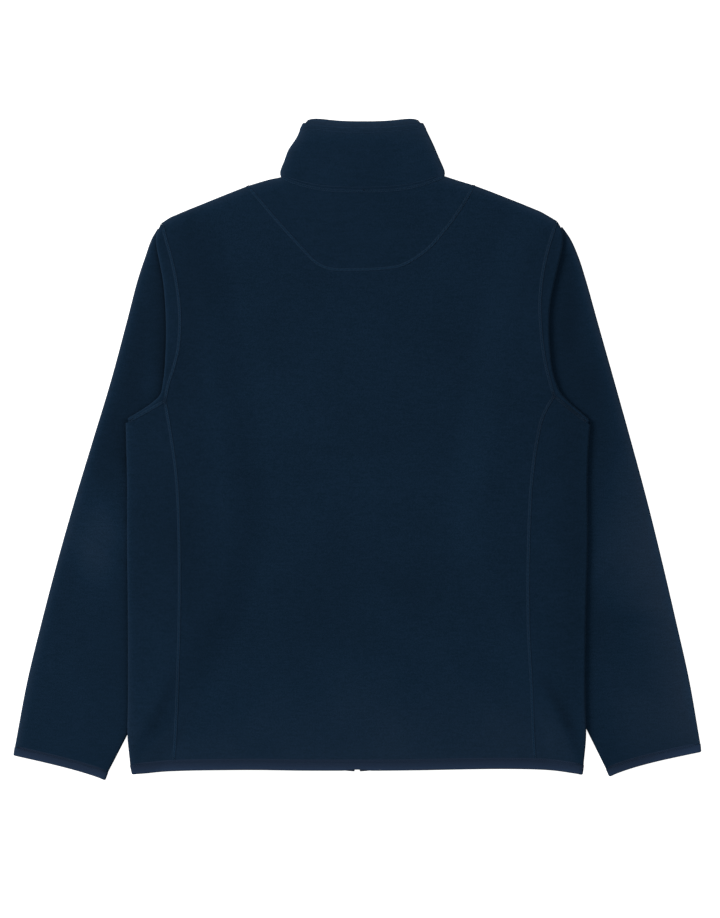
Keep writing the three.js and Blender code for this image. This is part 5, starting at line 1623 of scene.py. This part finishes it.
# %% Zip tapes
TAPE_INNER, TAPE_OUTER = 1.9 * MM, 15 * MM
TAPE_THICKNESS, TAPE_LOW = 0.6 * MM, 2.5 * MM
ZIP_BOTTOM, ZIP_TOP = -384 * MM, 330 * MM
TAPE_ROWS, TAPE_COLUMNS = 180, 7
for name, rows in SIDES.items():
    ys = np.linspace(ZIP_BOTTOM, ZIP_TOP, TAPE_ROWS)
    xs = rows["sign"] * np.linspace(TAPE_INNER, TAPE_OUTER, TAPE_COLUMNS)
    x, y = np.meshgrid(xs, ys)
    z = plain_height(x, y) + TAPE_LOW + (TAPE_THICKNESS - CLOTH) / 2
    make_piece(f"zip_tape_cloth_{name}", [wall(np.stack([x, y, z], -1), thickness=TAPE_THICKNESS)],
               tape, (f"zip_tape_{name}",))

# %% One tooth
TOOTH = {"reach": 3.4 * MM, "length": 1.15 * MM, "height": 1.7 * MM, "bevel": 0.22 * MM,
         "pitch": 2.9 * MM, "above table": 0.3 * MM}
CHAIN_SIDE = 2.7 * MM  # from the middle of the zip to the outer end of a tooth
bpy.ops.object.select_all(action="DESELECT")
bpy.ops.mesh.primitive_cube_add(size=1.0)
tooth = bpy.context.object
tooth.scale = (TOOTH["reach"], TOOTH["length"], TOOTH["height"])
bpy.ops.object.transform_apply(scale=True)
bpy.ops.object.mode_set(mode="EDIT")
bpy.ops.mesh.select_all(action="SELECT")
bpy.ops.mesh.bevel(offset=TOOTH["bevel"], segments=1)
bpy.ops.object.mode_set(mode="OBJECT")
tooth_points = np.array([v.co[:] for v in tooth.data.vertices])
tooth_faces = [list(p.vertices) for p in tooth.data.polygons]
bpy.data.objects.remove(tooth)
print("One tooth:", len(tooth_faces), "faces")

# %% All the teeth
CHAIN_LOW, CHAIN_HIGH = -374.7 * MM, 311.7 * MM
points, faces = [], []
for sign in (-1, 1):
    first = CHAIN_LOW + TOOTH["length"] / 2 + (TOOTH["pitch"] / 2 if sign > 0 else 0)
    for y in np.arange(first, CHAIN_HIGH - TOOTH["length"] / 2, TOOTH["pitch"]):
        x = sign * (CHAIN_SIDE - TOOTH["reach"] / 2)
        spot = np.array([0.0]), np.array([y])
        z = float(plain_height(*spot)[0]) - CLOTH / 2 + TOOTH["above table"] + TOOTH["height"] / 2
        faces += [[k + len(points) * len(tooth_points) for k in face] for face in tooth_faces]
        points.append(tooth_points + (x, y, z))
mesh = bpy.data.meshes.new("zip_teeth_moulded")
mesh.from_pydata(np.vstack(points).tolist(), [], faces)
mesh.materials.append(moulded)
teeth = bpy.data.objects.new("zip_teeth_moulded", mesh)
bpy.context.scene.collection.objects.link(teeth)
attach(teeth, "jacket")
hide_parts("zip_teeth")
print("Teeth:", len(points))
